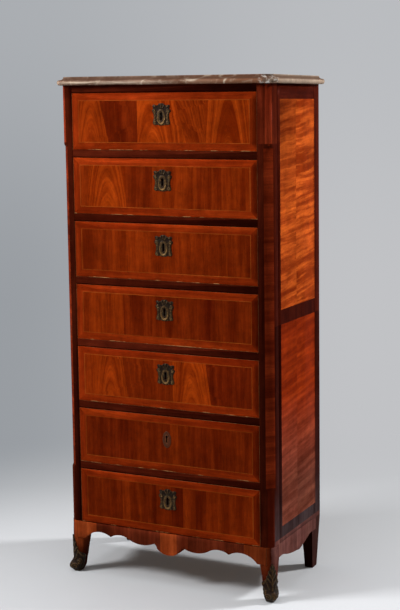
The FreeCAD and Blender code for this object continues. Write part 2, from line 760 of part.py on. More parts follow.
def plain_plate(name):
    """Plain oval keyhole plate."""
    level = f"({KEY_LEVEL} - Dims.plate_drop)"
    half_width = "Dims.plate_width / 2"
    straight = "(Dims.plate_height - Dims.plate_width) / 2"
    corners = [
        (half_width, f"{level} - {straight}", PLATE_SIDE_SHARE),
        (half_width, f"{level} + {straight}", HALF_SHARE),
        (f"-{half_width}", f"{level} + {straight}", PLATE_SIDE_SHARE),
        (f"-{half_width}", f"{level} - {straight}", HALF_SHARE),
    ]
    return prism(name, "XZ_Plane", corners, "Dims.plate_thickness")


def lock(name, key_cut):
    """Lock case with its upper plate, and the same form unpierced, which the front is mortised for."""
    case = board(
        f"{name}_case",
        ("-Dims.lock_width / 2", LOCK_FRONT, f"{KEY_LEVEL} - Dims.lock_foot"),
        ("Dims.lock_width / 2", "Dims.front_thickness", DRAWER_TOP),
    )
    selvedge = board(
        f"{name}_selvedge",
        ("-Dims.selvedge_width / 2", "Dims.front_thickness - Dims.selvedge_depth",
         f"{DRAWER_TOP} - Dims.selvedge_thickness"),
        ("Dims.selvedge_width / 2", "Dims.front_thickness", DRAWER_TOP),
    )
    form = fuse(f"{name}_form", case, selvedge)
    channel = board(
        f"{name}_channel",
        ("-Dims.bolt_width / 2 - Dims.bolt_play", f"{BOLT_FRONT} - Dims.bolt_play",
         f"{KEY_LEVEL} + Dims.bolt_foot - Dims.bolt_play"),
        ("Dims.bolt_width / 2 + Dims.bolt_play", f"{BOLT_FRONT} + Dims.bolt_thickness + Dims.bolt_play",
         f"{DRAWER_TOP} + Dims.overrun"),
    )
    hollow = cut(f"{name}_hollow", form, channel, key_cut)
    pin = doc.addObject("Part::Cylinder", f"{name}_pin")
    pin.setExpression("Radius", "Dims.pin_radius")
    pin.setExpression("Height", "Dims.pin_length")
    pin.Placement.Rotation = FreeCAD.Rotation(FreeCAD.Vector(1, 0, 0), 90)
    place(pin, "0", f"{LOCK_FRONT} + Dims.lock_plate", KEY_LEVEL)
    return fuse(name, hollow, pin), form


def bolt(name):
    """Lock bolt, drawn back, with the notch that the key turns in."""
    foot = f"({KEY_LEVEL} + Dims.bolt_foot)"
    bar = board(
        f"{name}_bar",
        ("-Dims.bolt_width / 2", BOLT_FRONT, foot),
        ("Dims.bolt_width / 2", f"{BOLT_FRONT} + Dims.bolt_thickness", DRAWER_TOP),
    )
    notch = board(
        f"{name}_notch",
        ("-Dims.talon_width / 2", f"{BOLT_FRONT} - Dims.overrun", f"{foot} - Dims.overrun"),
        ("Dims.talon_width / 2", f"{BOLT_FRONT} + Dims.bolt_thickness + Dims.overrun",
         f"{foot} + Dims.talon_height"),
    )
    return cut(name, bar, notch)


def drawer(number):
    """One drawer: front, dovetailed walls, bottom, keyhole mount, lock and bolt."""
    name = f"drawer_{number}"
    right_blank = drawer_wall(f"{name}_right_blank")
    left_blank = mirror(f"{name}_left_blank", right_blank)
    panel_edge = f"({DRAWER_HALF} - Dims.side_wall + Dims.panel_groove)"
    bottom = board(
        f"{name}_bottom_blank",
        (f"-{panel_edge}", "Dims.front_thickness - Dims.panel_groove", "Dims.panel_lift"),
        (panel_edge, DRAWER_DEPTH, PANEL_TOP),
    )
    back_blank = board(
        f"{name}_back_blank",
        (f"-{DRAWER_HALF}", f"{DRAWER_DEPTH} - Dims.back_wall", PANEL_TOP),
        (DRAWER_HALF, DRAWER_DEPTH, f"{WALL_TOP} - Dims.back_drop"),
    )
    walls = [
        cut(f"{name}_right_wall", right_blank, bottom),
        cut(f"{name}_left_wall", left_blank, bottom),
        cut(f"{name}_back_wall", back_blank, right_blank, left_blank),
    ]
    key_cut = keyhole(f"{name}_keyhole")
    lock_piece, lock_form = lock(f"{name}_lock", key_cut)
    front_blank = board(
        f"{name}_front_blank",
        (f"-{DRAWER_HALF}", "0", "Dims.drawer_gap"),
        (DRAWER_HALF, "Dims.front_thickness", DRAWER_TOP),
    )
    front = cut(f"{name}_front", front_blank, right_blank, left_blank, bottom, lock_form, key_cut)
    if number == PLAIN_PLATE_DRAWER:
        mount_blank = plain_plate(f"{name}_escutcheon_blank")
    else:
        mount_blank = cast_mount(f"{name}_escutcheon_blank")
    pieces = [
        front,
        group(f"{name}_box", walls),
        group(f"{name}_bottom", [bottom]),
        cut(f"{name}_escutcheon", mount_blank, key_cut),
        lock_piece,
        bolt(f"{name}_bolt"),
    ]
    for piece in pieces:
        place(piece, "0", FRONT, opening_floor(number))
        node(piece)


# Carcase, from the inner boards outwards, because each piece is let into the ones before it.
drawer_numbers = range(1, DRAWER_COUNT + 1)
rail_groove = f"{POST_BACK} - Dims.dust_groove"
dust_boards = [
    dust_board(f"dust_board_{number}", number, rail_groove, "Dims.dust_thickness")
    for number in drawer_numbers[:-1]
]
apron_back = f"{FRONT} - Dims.apron_proud + Dims.apron_thickness"
bottom_board = dust_board("carcase_bottom", DRAWER_COUNT, apron_back, "Dims.bottom_thickness")
rail_group = node(group("drawer_rails", drawer_rails()))
node(group("dust_boards", dust_boards))
node(bottom_board)
right_side = node(side_panel())
node(mirror("left_side_panel", right_side))
back = node(back_panel())
right_post, front_leg = front_post()
node(right_post)
left_post = node(mirror("left_front_post", right_post))
right_rear, rear_leg = rear_post()
node(right_rear)
left_rear = node(mirror("left_rear_post", right_rear))
runner_sets = [runners(number, dust_boards[number - 1]) for number in drawer_numbers[:-1]]
runner_sets.append(runners(DRAWER_COUNT, bottom_board, rear_leg))
node(group("drawer_runners", sum(runner_sets, [])))
node(group("drawer_stops", sum([stops(number) for number in drawer_numbers], [])))
top_blank = board(
    "carcase_top_blank",
    (f"-{SIDE_INNER}", POST_BACK, f"{CARCASE_TOP} - Dims.top_board_thickness"),
    (SIDE_INNER, f"{BACK} - Dims.back_thickness", CARCASE_TOP),
)
node(cut("carcase_top", top_blank, right_rear, left_rear))
node(front_apron())
node(side_aprons())
right_sabot = node(sabot())
node(mirror("left_sabot", right_sabot))
node(marble_top())
for drawer_number in drawer_numbers:
    drawer(drawer_number)

doc.recompute()
for piece in doc.Objects:
    if {"Invalid", "Error"} & set(piece.State):
        raise RuntimeError(f"{piece.Label} could not be built: {piece.State}")
for piece in nodes:
    if piece.Shape.isNull() or not piece.Shape.isValid() or not piece.Shape.Solids:
        raise RuntimeError(f"{piece.Label} has no valid solid")
os.makedirs("parts", exist_ok=True)
for piece in nodes:
    piece.Shape.exportStep(f"parts/{piece.Label}.step")
    print(f"{piece.Label}: {len(piece.Shape.Solids)} solids, {piece.Shape.Volume:.0f} mm3")
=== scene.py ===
"""Dresses a semainier, a tall chest of seven drawers, in veneer, marble, bronze, oak and iron."""

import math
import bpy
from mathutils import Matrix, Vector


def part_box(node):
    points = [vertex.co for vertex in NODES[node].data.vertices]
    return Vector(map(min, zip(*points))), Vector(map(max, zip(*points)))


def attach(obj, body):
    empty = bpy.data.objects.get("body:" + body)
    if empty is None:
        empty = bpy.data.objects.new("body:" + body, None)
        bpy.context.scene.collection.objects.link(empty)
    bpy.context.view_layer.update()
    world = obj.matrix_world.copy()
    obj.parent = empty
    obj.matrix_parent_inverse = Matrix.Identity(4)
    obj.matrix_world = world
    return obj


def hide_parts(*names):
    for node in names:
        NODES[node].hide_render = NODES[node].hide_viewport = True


bl_info = {
    "name": "Semainier",
    "version": (1, 0, 0),
    "blender": (4, 5, 0),
    "location": "View3D > Sidebar > Semainier",
    "description": "Veneers, mounts and stage for a tall chest of seven drawers",
    "category": "Object",
}

from collections import namedtuple

import bmesh
import bpy
import numpy as np
from bpy.props import FloatProperty, FloatVectorProperty, PointerProperty
from mathutils import Matrix, Vector
from mathutils.bvhtree import BVHTree

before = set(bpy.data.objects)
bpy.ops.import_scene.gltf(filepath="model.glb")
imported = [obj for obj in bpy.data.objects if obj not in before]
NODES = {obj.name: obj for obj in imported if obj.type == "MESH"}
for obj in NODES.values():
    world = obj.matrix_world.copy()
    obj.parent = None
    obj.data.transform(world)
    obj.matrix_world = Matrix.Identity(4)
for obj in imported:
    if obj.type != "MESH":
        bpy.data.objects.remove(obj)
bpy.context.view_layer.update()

DRAWERS = range(1, 8)
PLAIN_PLATE_DRAWER = 6
HANDS = (("right", 1), ("left", -1))
OAK_BOARDS = (
    "back_panel", "carcase_top", "carcase_bottom", "dust_boards", "drawer_runners", "drawer_stops",
)

# Places of the carcase, read from the frame, in metres.
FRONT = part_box("drawer_1_front")[0].y
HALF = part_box("right_side_panel")[1].x
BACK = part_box("back_panel")[1].y
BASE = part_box("right_side_panel")[0].z
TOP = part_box("right_side_panel")[1].z
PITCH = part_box("drawer_1_front")[0].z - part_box("drawer_2_front")[0].z

# Reach within which a point counts as lying in a plane, and within which two points are one, in metres.
NEAR = 1e-4
SAME = 1e-6
# How much of a normal lies along a direction for its face to lean that way, to front it on a leg, to face
# it, to be flush with it and to lie in a cant.
LEANING, LEG_FACING, FACING, FLUSH, CANTED = 0.6, 0.85, 0.9, 0.97, 0.99

# Angles in degrees from which edges of wood and of metal stay sharp.
SHARP_WOOD, SHARP_METAL = 32, 50

GRAIN_X = Vector((1, 0, 0))
GRAIN_Y = Vector((0, 1, 0))
GRAIN_Z = Vector((0, 0, 1))
SIDE_GRAIN = Vector((0, 1, 0.10)).normalized()

# One sheet of veneer: its colour, the way its grain runs, how far its figure wanders in metres, the place
# in the log that it was cut from, how rubbed it is from 0 to 1 (along a drawer's foot also a painted
# highlight), the width of the arches in its figure (0 for straight grain), the foot of their middle line,
# the colour that it goes to where it fades, lies in painted shade and takes a painted reflection of the
# floor, and a function that gives the share of its own colour left at a place.
Leaf = namedtuple(
    "Leaf", "stain grain figure seed wear arch heart faded left", defaults=(0.0, 0.0, Vector(), None, None)
)
# What the veneer reads of a leaf, and as what.
LEAF_OUTPUTS = {
    "stain": "Color", "grain": "Vector", "figure": "Fac", "seed": "Vector", "arch": "Fac", "heart": "Vector"
}
# How far the figure wanders, in metres, on most leaves, on wavier ones, and low and high on the sides.
PLAIN_FIGURE, WAVY_FIGURE, LOW_SIDE_FIGURE, SIDE_FIGURE = 0.004, 0.006, 0.009, 0.024

# Leaves in the field of each drawer front, from left to right: how light each is, from 0 to 1, its figure
# in metres, and its right joint as a share of the field's width (at the top and at the foot, if it leans).
FIELD_LEAVES = {
    1: [(0.68, 0.010, 0.13, 0.18), (0.20, 0.008, 0.355), (0.98, 0.012, 0.58, 0.64),
        (0.64, 0.012, 0.755), (0.94, 0.012, 1)],
    2: [(0.44, 0.006, 0.05), (0.90, 0.010, 0.28), (0.30, 0.006, 0.44), (0.52, 0.007, 0.70),
        (0.42, 0.009, 0.84), (0.54, 0.007, 1)],
    3: [(0.42, 0.004, 0.05), (0.36, 0.004, 0.19), (0.56, 0.005, 0.38), (0.46, 0.004, 0.46),
        (0.40, 0.005, 0.59), (0.50, 0.004, 0.75), (0.56, 0.006, 0.87), (0.44, 0.004, 1)],
    4: [(0.46, 0.005, 0.05), (0.58, 0.006, 0.25), (0.28, 0.010, 0.42), (0.36, 0.005, 0.58),
        (0.36, 0.005, 0.71), (0.18, 0.005, 0.78), (0.32, 0.006, 0.92), (0.42, 0.004, 1)],
    5: [(0.48, 0.005, 0.05), (0.70, 0.010, 0.235, 0.27), (0.42, 0.008, 0.54),
        (0.94, 0.012, 0.735, 0.765), (0.20, 0.008, 1)],
    6: [(0.26, 0.004, 0.15), (0.20, 0.004, 0.295), (0.34, 0.005, 0.41), (0.36, 0.004, 0.52),
        (0.58, 0.005, 0.635), (0.26, 0.005, 0.76), (0.36, 0.006, 1)],
    7: [(0.36, 0.005, 0.10), (0.34, 0.005, 0.22), (0.54, 0.006, 0.345), (0.30, 0.004, 0.43),
        (0.46, 0.005, 0.52), (0.24, 0.004, 0.59), (0.48, 0.004, 0.665), (0.26, 0.004, 0.73),
        (0.54, 0.006, 0.83), (0.40, 0.005, 1)],
}
# Leaves with an arched figure, by drawer and order: the width of the arches in metres, and where their
# middle line lies between the leaf's left joint and its right one.
FLAMED_LEAVES = {
    (1, 0): (0.010, 0.45), (1, 2): (0.020, 0.30), (1, 3): (0.030, -0.20), (1, 4): (0.012, 0.52),
    (2, 1): (0.016, 0.50), (5, 1): (0.008, 0.55), (5, 3): (0.010, 0.50),
}
# How light each drawer's veneers came out as a whole, partly their own tone and partly painted shade that
# darkens the lower drawers; and how light the bands at its left, right, foot and head are, as painted light
# and shade: lighter at the head and darker on the right.
DRAWER_SHADES = {1: 1.0, 2: 1.0, 3: 0.94, 4: 0.90, 5: 1.0, 6: 0.80, 7: 0.84}
BAND_SHADES = (0.92, 0.80, 0.94, 1.12)

# Upright joints low on a side, measured from the drawer fronts, and how light the leaves between them are.
LOW_JOINTS = (0.113, 0.162, 0.218)
LOW_SHADES = (1.10, 0.95, 1.15, 0.92)

# Joints of the front apron on either side of its middle, beyond the tablet, and how light the leaves are.
APRON_JOINTS = (0.062, 0.112, 0.176)
APRON_SHADES = (1.25, 0.90, 1.10, 0.80)

# How light the rails are, from the lowest sill up to the frieze, and how much darker their lower edges are
# painted, as painted shadow over the gap above each drawer.
RAIL_SHADES = (1.0, 1.05, 0.85, 1.1, 0.80, 0.90, 1.1, 0.75)
GAP_SHADOW_SHADE = 0.22

# How light the front posts are on the right (1) and on the left (-1), as painted light and shade on the
# fronts of the upper blocks, on the fronts of the legs and on the legs' inner faces.
BLOCK_FRONT_SHADES = {1: 0.38, -1: 0.27}
LEG_FRONT_SHADES = {1: 0.62, -1: 1.25}
LEG_INNER_SHADES = {1: 0.65, -1: 1.5}

# Half of a cast mount's outline, from the foot to the top: shares of the half width and of the half height,
# and the bulge of the edge that follows.
MOUNT_SHARES = (
    (0.00, -1.00, 0.12), (0.44, -0.94, -0.14), (0.60, -0.95, 0.20), (0.95, -0.88, 0.22),
    (0.93, -0.56, -0.10), (0.88, -0.06, -0.14), (0.96, 0.16, 0.12), (1.07, 0.34, 0.46),
    (0.93, 0.48, -0.22), (1.02, 0.76, 0.46), (0.66, 0.85, -0.28), (0.36, 0.90, 0.30), (0.00, 1.00, 0.00),
)
# Ridges on half of a cast mount, in metres about its keyhole: lines of points, each with its width and its
# weight, and scrolls, each as centre, radius, turns, starting angle, hand, width and weight.
MOUNT_LINES = (
    (((0.0, 0.0215), (0.0, 0.0330)), 0.0015, 0.9),
    (((0.0, -0.0205), (0.0, -0.0245)), 0.0016, 0.7),
    (((0.0205, -0.0130), (0.0190, -0.0040), (0.0200, 0.0050), (0.0215, 0.0110)), 0.0026, 0.4),
    (((0.0040, 0.0215), (0.0100, 0.0310)), 0.0013, 0.8),
    (((0.0060, -0.0195), (0.0110, -0.0240)), 0.0012, 0.6),
)
MOUNT_SCROLLS = (
    ((0.0198, -0.0190), 0.0046, 1.2, 2.2, -1, 0.0012, 0.7),
    ((0.0205, 0.0160), 0.0048, 1.2, -2.2, 1, 0.0011, 0.9),
    ((0.0180, 0.0265), 0.0040, 1.1, 2.6, -1, 0.0010, 0.8),
)
# Ovals of a cast mount's shield and of the painted shade round its keyhole: half width, half height and
# drop.
SHIELD_OVAL = (0.0118, 0.0195, 0.0015)
KEYHOLE_SHADE_OVAL = (0.0046, 0.0130, 0.0010)

# Outline of a foot mount: levels above the floor, each with its reach about the leg's corner in degrees.
FOOT_OUTLINE = (
    (0.000, 152), (0.044, 152), (0.052, 124), (0.059, 84), (0.065, 66), (0.073, 62), (0.078, 44),
    (0.087, 43), (0.092, 27), (0.099, 24), (0.1075, 4),
)
# Ridges on half of a foot mount, by distance from its middle line and level: the leaf's rib and veins, the
# rolled edge over the ankle, the rim at the floor and the toe's flutes, then the scrolls on the toe.
FOOT_LINES = (
    (((0.0, 0.034), (0.0, 0.106)), 0.0022, 0.8),
    (((0.0, 0.050), (0.0150, 0.072)), 0.0020, 0.9),
    (((0.0, 0.066), (0.0110, 0.087)), 0.0020, 0.9),
    (((0.0, 0.082), (0.0062, 0.099)), 0.0018, 0.8),
    (((0.0080, 0.036), (0.0180, 0.062)), 0.0018, 0.8),
    (((0.0400, 0.044), (0.0290, 0.046), (0.0220, 0.054), (0.0170, 0.064)), 0.0024, 0.9),
    (((0.0, 0.004), (0.0420, 0.003)), 0.0026, 0.6),
    (((0.0, 0.012), (0.0, 0.026)), 0.0038, 0.8),
    (((0.0280, 0.012), (0.0330, 0.030)), 0.0024, 0.5),
)
FOOT_SCROLLS = (
    ((0.0200, 0.0300), 0.0075, 1.3, 1.4, -1, 0.0020, 0.7),
    ((0.0105, 0.0165), 0.0078, 1.4, 0.6, 1, 0.0019, 0.8),
)

# Points that the mounts are modelled with: rings round a keyhole, steps round the plain plate, and rows and
# columns of a foot mount.
CAST_RINGS, PLATE_RINGS, PLATE_STEPS = 30, 14, 72
FOOT_ROWS, FOOT_COLUMNS = 110, 81

# Places of pins and screws about the middle of their piece, as shares of its width and height.
CAST_PINS = ((0.25, 0.38), (-0.25, 0.38), (0.25, -0.38), (-0.25, -0.38))
PLATE_PINS = ((0.0, 0.42), (0.0, -0.42))
LOCK_SCREWS = ((0.32, 0.40), (0.32, -0.40), (-0.32, 0.40), (-0.32, -0.40))

# Tints of the wood's dark and light stripes, and other colours in the finishes, as linear levels.
DARK_TINT, LIGHT_TINT = (0.36, 0.22, 0.16), (1.26, 1.40, 1.25)
PORE = (0.012, 0.005, 0.003)
DARK_VEIN = (0.035, 0.02, 0.015)
CRACK = (0.03, 0.02, 0.015)
FILLER = (0.72, 0.68, 0.62)
GRIME = (0.030, 0.030, 0.018)
RUST = (0.075, 0.035, 0.016)

# Main view: the camera's place in metres, its yaw, pitch and roll in degrees, and in pixels the frame's
# width and height, the focal length and the optical centre.
CAMERA_PLACE = (1.75539, -3.26436, 1.35433)
CAMERA_TURN = (-24.1119, -6.7505, -0.3456)
CAMERA_FRAME = (400, 610)
CAMERA_FOCAL = 1307.278
CAMERA_CENTRE = (285.296, 256.787)
SENSOR_WIDTH = 36
# Directions over the floor in the main view: ahead, to the right, and towards the left end of the backdrop.
VIEW_AHEAD = (-0.474, 0.880, 0.0)
VIEW_RIGHT = (0.913, 0.408, 0.0)
VIEW_LEFT_END = (-0.650, 0.760, 0.0)

# Soft square lights: place, aim, width in metres and power in watts.
LIGHTS = {
    "right_light": ((2.7, 2.0, 2.75), (0.3, 0.0, 0.8), 0.5, 150),
    "left_light": ((-2.2, -1.9, 2.5), (0.0, 0.0, 0.8), 0.9, 118),
    "top_light": ((-0.3, -0.8, 3.8), (-0.3, -0.8, 0.0), 2.5, 45),
}
WORLD_STRENGTH = 0.30
FLOOR_REACH = 40.0


def srgb(red, green, blue):
    """Linear colour of a display colour given from 0 to 255."""
    shares = [level / 255 for level in (red, green, blue)]
    return tuple(s / 12.92 if s <= 0.04045 else ((s + 0.055) / 1.055) ** 2.4 for s in shares)


def colour(meaning, *levels):
    """Colour property with a display colour as its default."""
    return FloatVectorProperty(
        description=meaning, default=srgb(*levels), size=3, subtype="COLOR", min=0, max=1
    )


def length(meaning, metres):
    """Length property in metres."""
    return FloatProperty(description=meaning, default=metres, min=0, precision=4, unit="LENGTH")


class ChestSizes(bpy.types.PropertyGroup):
    """Sizes of the veneers and mounts."""

    band: length("Width of the veneer band round a drawer front", 0.020)
    string: length("Width of the pale line inside that band", 0.0011)
    # The rubbed edge is painted pale, as bare wood and as a painted highlight of the lit ledge below a
    # drawer.
    worn_edge: length("Width of the rubbed edge along the foot of a drawer", 0.0013)
    # The darkened edge is painted shadow over the gap above each drawer.
    dark_edge: length("Width of the darkened edge over a drawer", 0.0030)
    upper_block: length("Rounded part of a post above its cant", 0.158)
    lower_block: length("Rounded part of a post below its cant", 0.152)
    cant_leaf: length("Height of the cross-grain leaves of a cant", 0.052)
    side_front_band: length("Dark band of a side, from the drawer fronts", 0.0633)
    side_rear_band: length("Dark band of a side, from the back", 0.0347)
    side_top_band: length("Dark band along the top of a side", 0.0411)
    side_middle_low: length("Lower edge of the middle band, from the floor", 0.7579)
    side_middle_high: length("Upper edge of the middle band, from the floor", 0.7985)
    side_foot_low: length("Lower edge of the foot band, from the floor", 0.166)
    side_foot_high: length("Upper edge of the foot band, from the floor", 0.1972)
    side_joint: length("Upright joint of the side fields, from the drawer fronts", 0.168)
    # The upper front corner of a side is painted in shadow, which clears over this height.
    shade_drop: length("Height over which the upper front corner of a side clears", 0.30)
    # Low on a side the veneer is painted greyer and darker, partly the veneer's fading and partly a painted
    # reflection of the pale floor.
    band_fade: length("Height over which the bands of a side grey towards the foot", 0.16)
    fade_low: length("Level at which the sides have faded altogether", 0.29)
    fade_high: length("Level above which the sides haven't faded", 0.56)
    tablet_half: length("Half width of the light tablet on the pendant", 0.0265)
    spandrel_inner: length("Inner edge of the light veneer beside each leg", 0.236)
    mount_edge: length("Thickness of the cast keyhole mounts at their outline", 0.0008)
    mount_ground: length("Rise of the cast mounts inside their outline", 0.0006)
    mount_relief: length("Height of the scrolls on the cast mounts", 0.0018)
    shield_relief: length("Height of the shields on the cast mounts", 0.0010)
    plate_wall: length("Thickness of the plain keyhole plate", 0.0012)
    plate_collar: length("Rise of the plain plate round its keyhole", 0.0006)
    foot_relief: length("Height of the leaves on the foot mounts", 0.0018)
    foot_wall: length("Wall of the foot mounts", 0.0022)
    leg_axis: length("Middle of a front leg, behind the carcase faces", 0.0155)
    key_drop: length("Keyhole's round end below the top of a drawer", 0.057)
    keyhole_radius: length("Radius of the keyhole's round end", 0.0036)
    keyhole_slot: length("Width of the keyhole's slot", 0.0042)
    keyhole_length: length("Keyhole below its round end", 0.0172)
    pin_radius: length("Radius of the pins that hold the mounts", 0.0011)
    screw_radius: length("Radius of the heads of the lock screws", 0.0032)
    screw_height: length("Height of the heads of the lock screws", 0.0016)


class ChestColours(bpy.types.PropertyGroup):
    """Colours of the finishes."""

    field_light: colour("Lightest leaves of the drawer fields", 148, 53, 9)
    field_dark: colour("Darkest leaves of the drawer fields", 84, 18, 4)
    band: colour("Bands round the drawer fronts", 132, 42, 9)
    string: colour("Pale line inside the bands", 164, 82, 30)
    # This pale colour also paints the highlight along the foot of each drawer.
    worn: colour("Bare wood where the polish has rubbed off", 190, 142, 88)
    rail: colour("Dark veneer of the rails and stiles", 74, 23, 10)
    cant: colour("Cross-grain veneer of the canted corners", 110, 36, 14)
    block: colour("Veneer of the rounded corner blocks", 126, 44, 22)
    side_field: colour("Light veneer high on the sides", 184, 78, 26)
    side_lower: colour("Redder veneer under the middle bands", 148, 47, 11)
    # The colours low on a side and on its aprons are partly the veneer's fading and greying and partly a
    # painted reflection of the pale floor.
    side_low: colour("Faded veneer low on the sides", 118, 62, 47)
    side_band: colour("Dark bands of the sides", 66, 19, 9)
    foot_band: colour("Greyed band along the foot of the sides", 64, 50, 51)
    apron: colour("Dark veneer of the front apron", 88, 33, 17)
    side_apron: colour("Greyed veneer of the side aprons", 99, 60, 55)
    leg: colour("Light veneer of the legs and the pendant", 138, 60, 26)
    # The legs darken to this towards their feet, and as painted shade towards their backs.
    leg_foot: colour("Darkened veneer at the feet and backs of the legs", 62, 22, 12)
    marble: colour("Ground of the slab", 136, 109, 92)
    # This colour also paints the shade in the hollow under the slab's top edge.
    marble_dark: colour("Dark clouds of the slab", 74, 50, 38)
    marble_brown: colour("Ground of the slab on the right of its front", 118, 78, 56)
    # This colour also paints the highlight along the slab's bead.
    vein: colour("Veins of the slab", 204, 186, 164)
    bronze: colour("Rubbed relief of the mounts", 124, 92, 52)
    bronze_dark: colour("Hollows of the mounts", 28, 17, 10)
    plate: colour("Rubbed edges of the plain keyhole plate", 112, 64, 36)
    plate_dark: colour("Ground of the plain keyhole plate", 66, 30, 16)
    iron: colour("Locks and bolts", 92, 88, 84)
    oak: colour("Drawer linings and carcase boards", 150, 112, 72)
    floor: colour("Floor under the chest", 200, 202, 205)
    # The wall's colours hold painted light and shade: darker on the left, lighter on the right and above.
    backdrop_left: colour("Wall on the left of the chest", 152, 156, 161)
    backdrop_right: colour("Wall on the right of the chest", 193, 194, 197)
    backdrop_high: colour("Wall above the chest", 181, 184, 188)


def sizes():
    return bpy.context.scene.chest_sizes


def colours():
    return bpy.context.scene.chest_colours


def mixed(low, high, share):
    """Colour that lies between two others."""
    return tuple(a + (b - a) * share for a, b in zip(low, high))


def dimmed(stain, share):
    """Colour made darker or lighter."""
    return tuple(level * share for level in stain)


def new_object(name, data):
    """Object in the scene."""
    piece = bpy.data.objects.new(name, data)
    bpy.context.scene.collection.objects.link(piece)
    return piece


# Finishes.


class Nodes:
    """Node tree under construction, with short calls that add a node and join or set its inputs."""

    def __init__(self, tree):
        self.tree = tree

    def add(self, kind, inputs=None, **settings):
        node = self.tree.nodes.new(kind)
        for key, setting in settings.items():
            setattr(node, key, setting)
        for key, given in (inputs or {}).items():
            self.give(node.inputs[key], given)
        return node

    def give(self, socket, given):
        if isinstance(given, bpy.types.NodeSocket):
            self.tree.links.new(given, socket)
        else:
            socket.default_value = given

    def math(self, operation, first, second=0.0):
        return self.add("ShaderNodeMath", {0: first, 1: second}, operation=operation).outputs[0]

    def times(self, first, second):
        return self.math("MULTIPLY", first, second)

    def vector(self, operation, *inputs):
        node = self.add("ShaderNodeVectorMath", dict(enumerate(inputs)), operation=operation)
        return node.outputs["Value" if operation in ("DOT_PRODUCT", "LENGTH") else "Vector"]

    def plus(self, first, second):
        return self.vector("ADD", first, second)

    def minus(self, first, second):
        return self.vector("SUBTRACT", first, second)

    def dot(self, first, second):
        return self.vector("DOT_PRODUCT", first, second)

    def scaled(self, vector, factor):
        node = self.add("ShaderNodeVectorMath", {0: vector, "Scale": factor}, operation="SCALE")
        return node.outputs["Vector"]

    def noise(self, vector, scale, detail=3.0, roughness=0.55, output="Fac"):
        inputs = {"Vector": vector, "Scale": scale, "Detail": detail, "Roughness": roughness}
        return self.add("ShaderNodeTexNoise", inputs).outputs[output]

    def span(self, share, low, high, start=0.0, end=1.0, kind="LINEAR"):
        """Carries the stretch from start to end of a share to the stretch from low to high."""
        inputs = {"Value": share, "From Min": start, "From Max": end, "To Min": low, "To Max": high}
        return self.add("ShaderNodeMapRange", inputs, interpolation_type=kind).outputs["Result"]

    def about(self, level, middle, strength, near, far):
        """Strength that holds within the near distance from a middle level and is gone at the far one."""
        away = self.math("ABSOLUTE", self.math("SUBTRACT", level, middle))
        return self.span(away, strength, 0.0, near, far)

    def blend(self, factor, first, second, kind="MIX"):
        node = self.add("ShaderNodeMix", data_type="RGBA", blend_type=kind)
        self.give(node.inputs["Factor"], factor)
        for socket, given in ((node.inputs[6], first), (node.inputs[7], second)):
            self.give(socket, given if isinstance(given, bpy.types.NodeSocket) else (*given, 1))
        return node.outputs[2]

    def between(self, factor, first, second):
        """Vector between two others."""
        node = self.add("ShaderNodeMix", {0: factor, 4: first, 5: second}, data_type="VECTOR")
        return node.outputs[1]

    def seen_directly(self):
        """1 for rays that see the stage itself or its mirror image, 0 for the ones that carry its light."""
        path = self.add("ShaderNodeLightPath").outputs
        mirrored = self.math("MAXIMUM", path["Is Glossy Ray"], path["Is Transmission Ray"])
        return self.math("MAXIMUM", path["Is Camera Ray"], mirrored)

    def wall_tone(self, way):
        """Colour of the backdrop in a direction, with painted light and shade: darker on the left of the
        chest, lighter on its right, and more even above.
        """
        share = self.span(self.dot(way, VIEW_RIGHT), 0.0, 1.0, -0.22, 0.06, "SMOOTHSTEP")
        away = self.span(self.dot(way, VIEW_LEFT_END), 1.0, 0.0, 0.60, 0.90, "SMOOTHSTEP")
        share = self.math("MAXIMUM", share, away)
        level = self.blend(share, colours().backdrop_left, colours().backdrop_right)
        rise = self.span(self.dot(way, GRAIN_Z), 0.0, 0.6, -0.16, 0.08, "SMOOTHSTEP")
        return self.blend(rise, level, colours().backdrop_high)

    def mix_surface(self, output, share, first, second):
        """Joins two surfaces, by the share of the second one, to an output."""
        mix = self.add("ShaderNodeMixShader", {0: share, 1: first.outputs[0], 2: second.outputs[0]})
        self.give(self.tree.nodes[output].inputs["Surface"], mix.outputs[0])


class Finish(Nodes):
    """Material under construction."""

    def __init__(self, name):
        self.material = bpy.data.materials.new(name)
        self.material.use_nodes = True
        super().__init__(self.material.node_tree)
        self.shader = self.tree.nodes["Principled BSDF"]
        self.place = self.add("ShaderNodeTexCoord").outputs["Object"]

    def set(self, **inputs):
        """Sets or joins inputs of the surface shader; underscores stand for spaces."""
        for key, given in inputs.items():
            self.give(self.shader.inputs[key.replace("_", " ")], given)

    def polish(self, texture, low, high, metallic, specular):
        """Sets the gloss; the roughness follows a texture from low to high."""
        roughness = self.span(texture, low, high)
        self.set(Roughness=roughness, Metallic=metallic, Specular_IOR_Level=specular)

    def bump(self, height, distance):
        node = self.add("ShaderNodeBump", {"Height": height, "Distance": distance})
        self.set(Normal=node.outputs["Normal"])

    def attribute(self, name, output):
        return self.add("ShaderNodeAttribute", attribute_name=name).outputs[output]

    def bent(self, place, scale, reach):
        """Place that wanders by a noise."""
        wander = self.noise(place, scale, 3.0, output="Color")
        return self.plus(place, self.scaled(self.minus(wander, (0.5, 0.5, 0.5)), reach))


def made_once(dress):
    """Turns a function that dresses a finish into one that gives the material of its name, dressed at its
    first use."""
    def material():
        known = bpy.data.materials.get(dress.__name__)
        if known:
            return known
        finish = Finish(dress.__name__)
        dress(finish)
        return finish.material

    return material


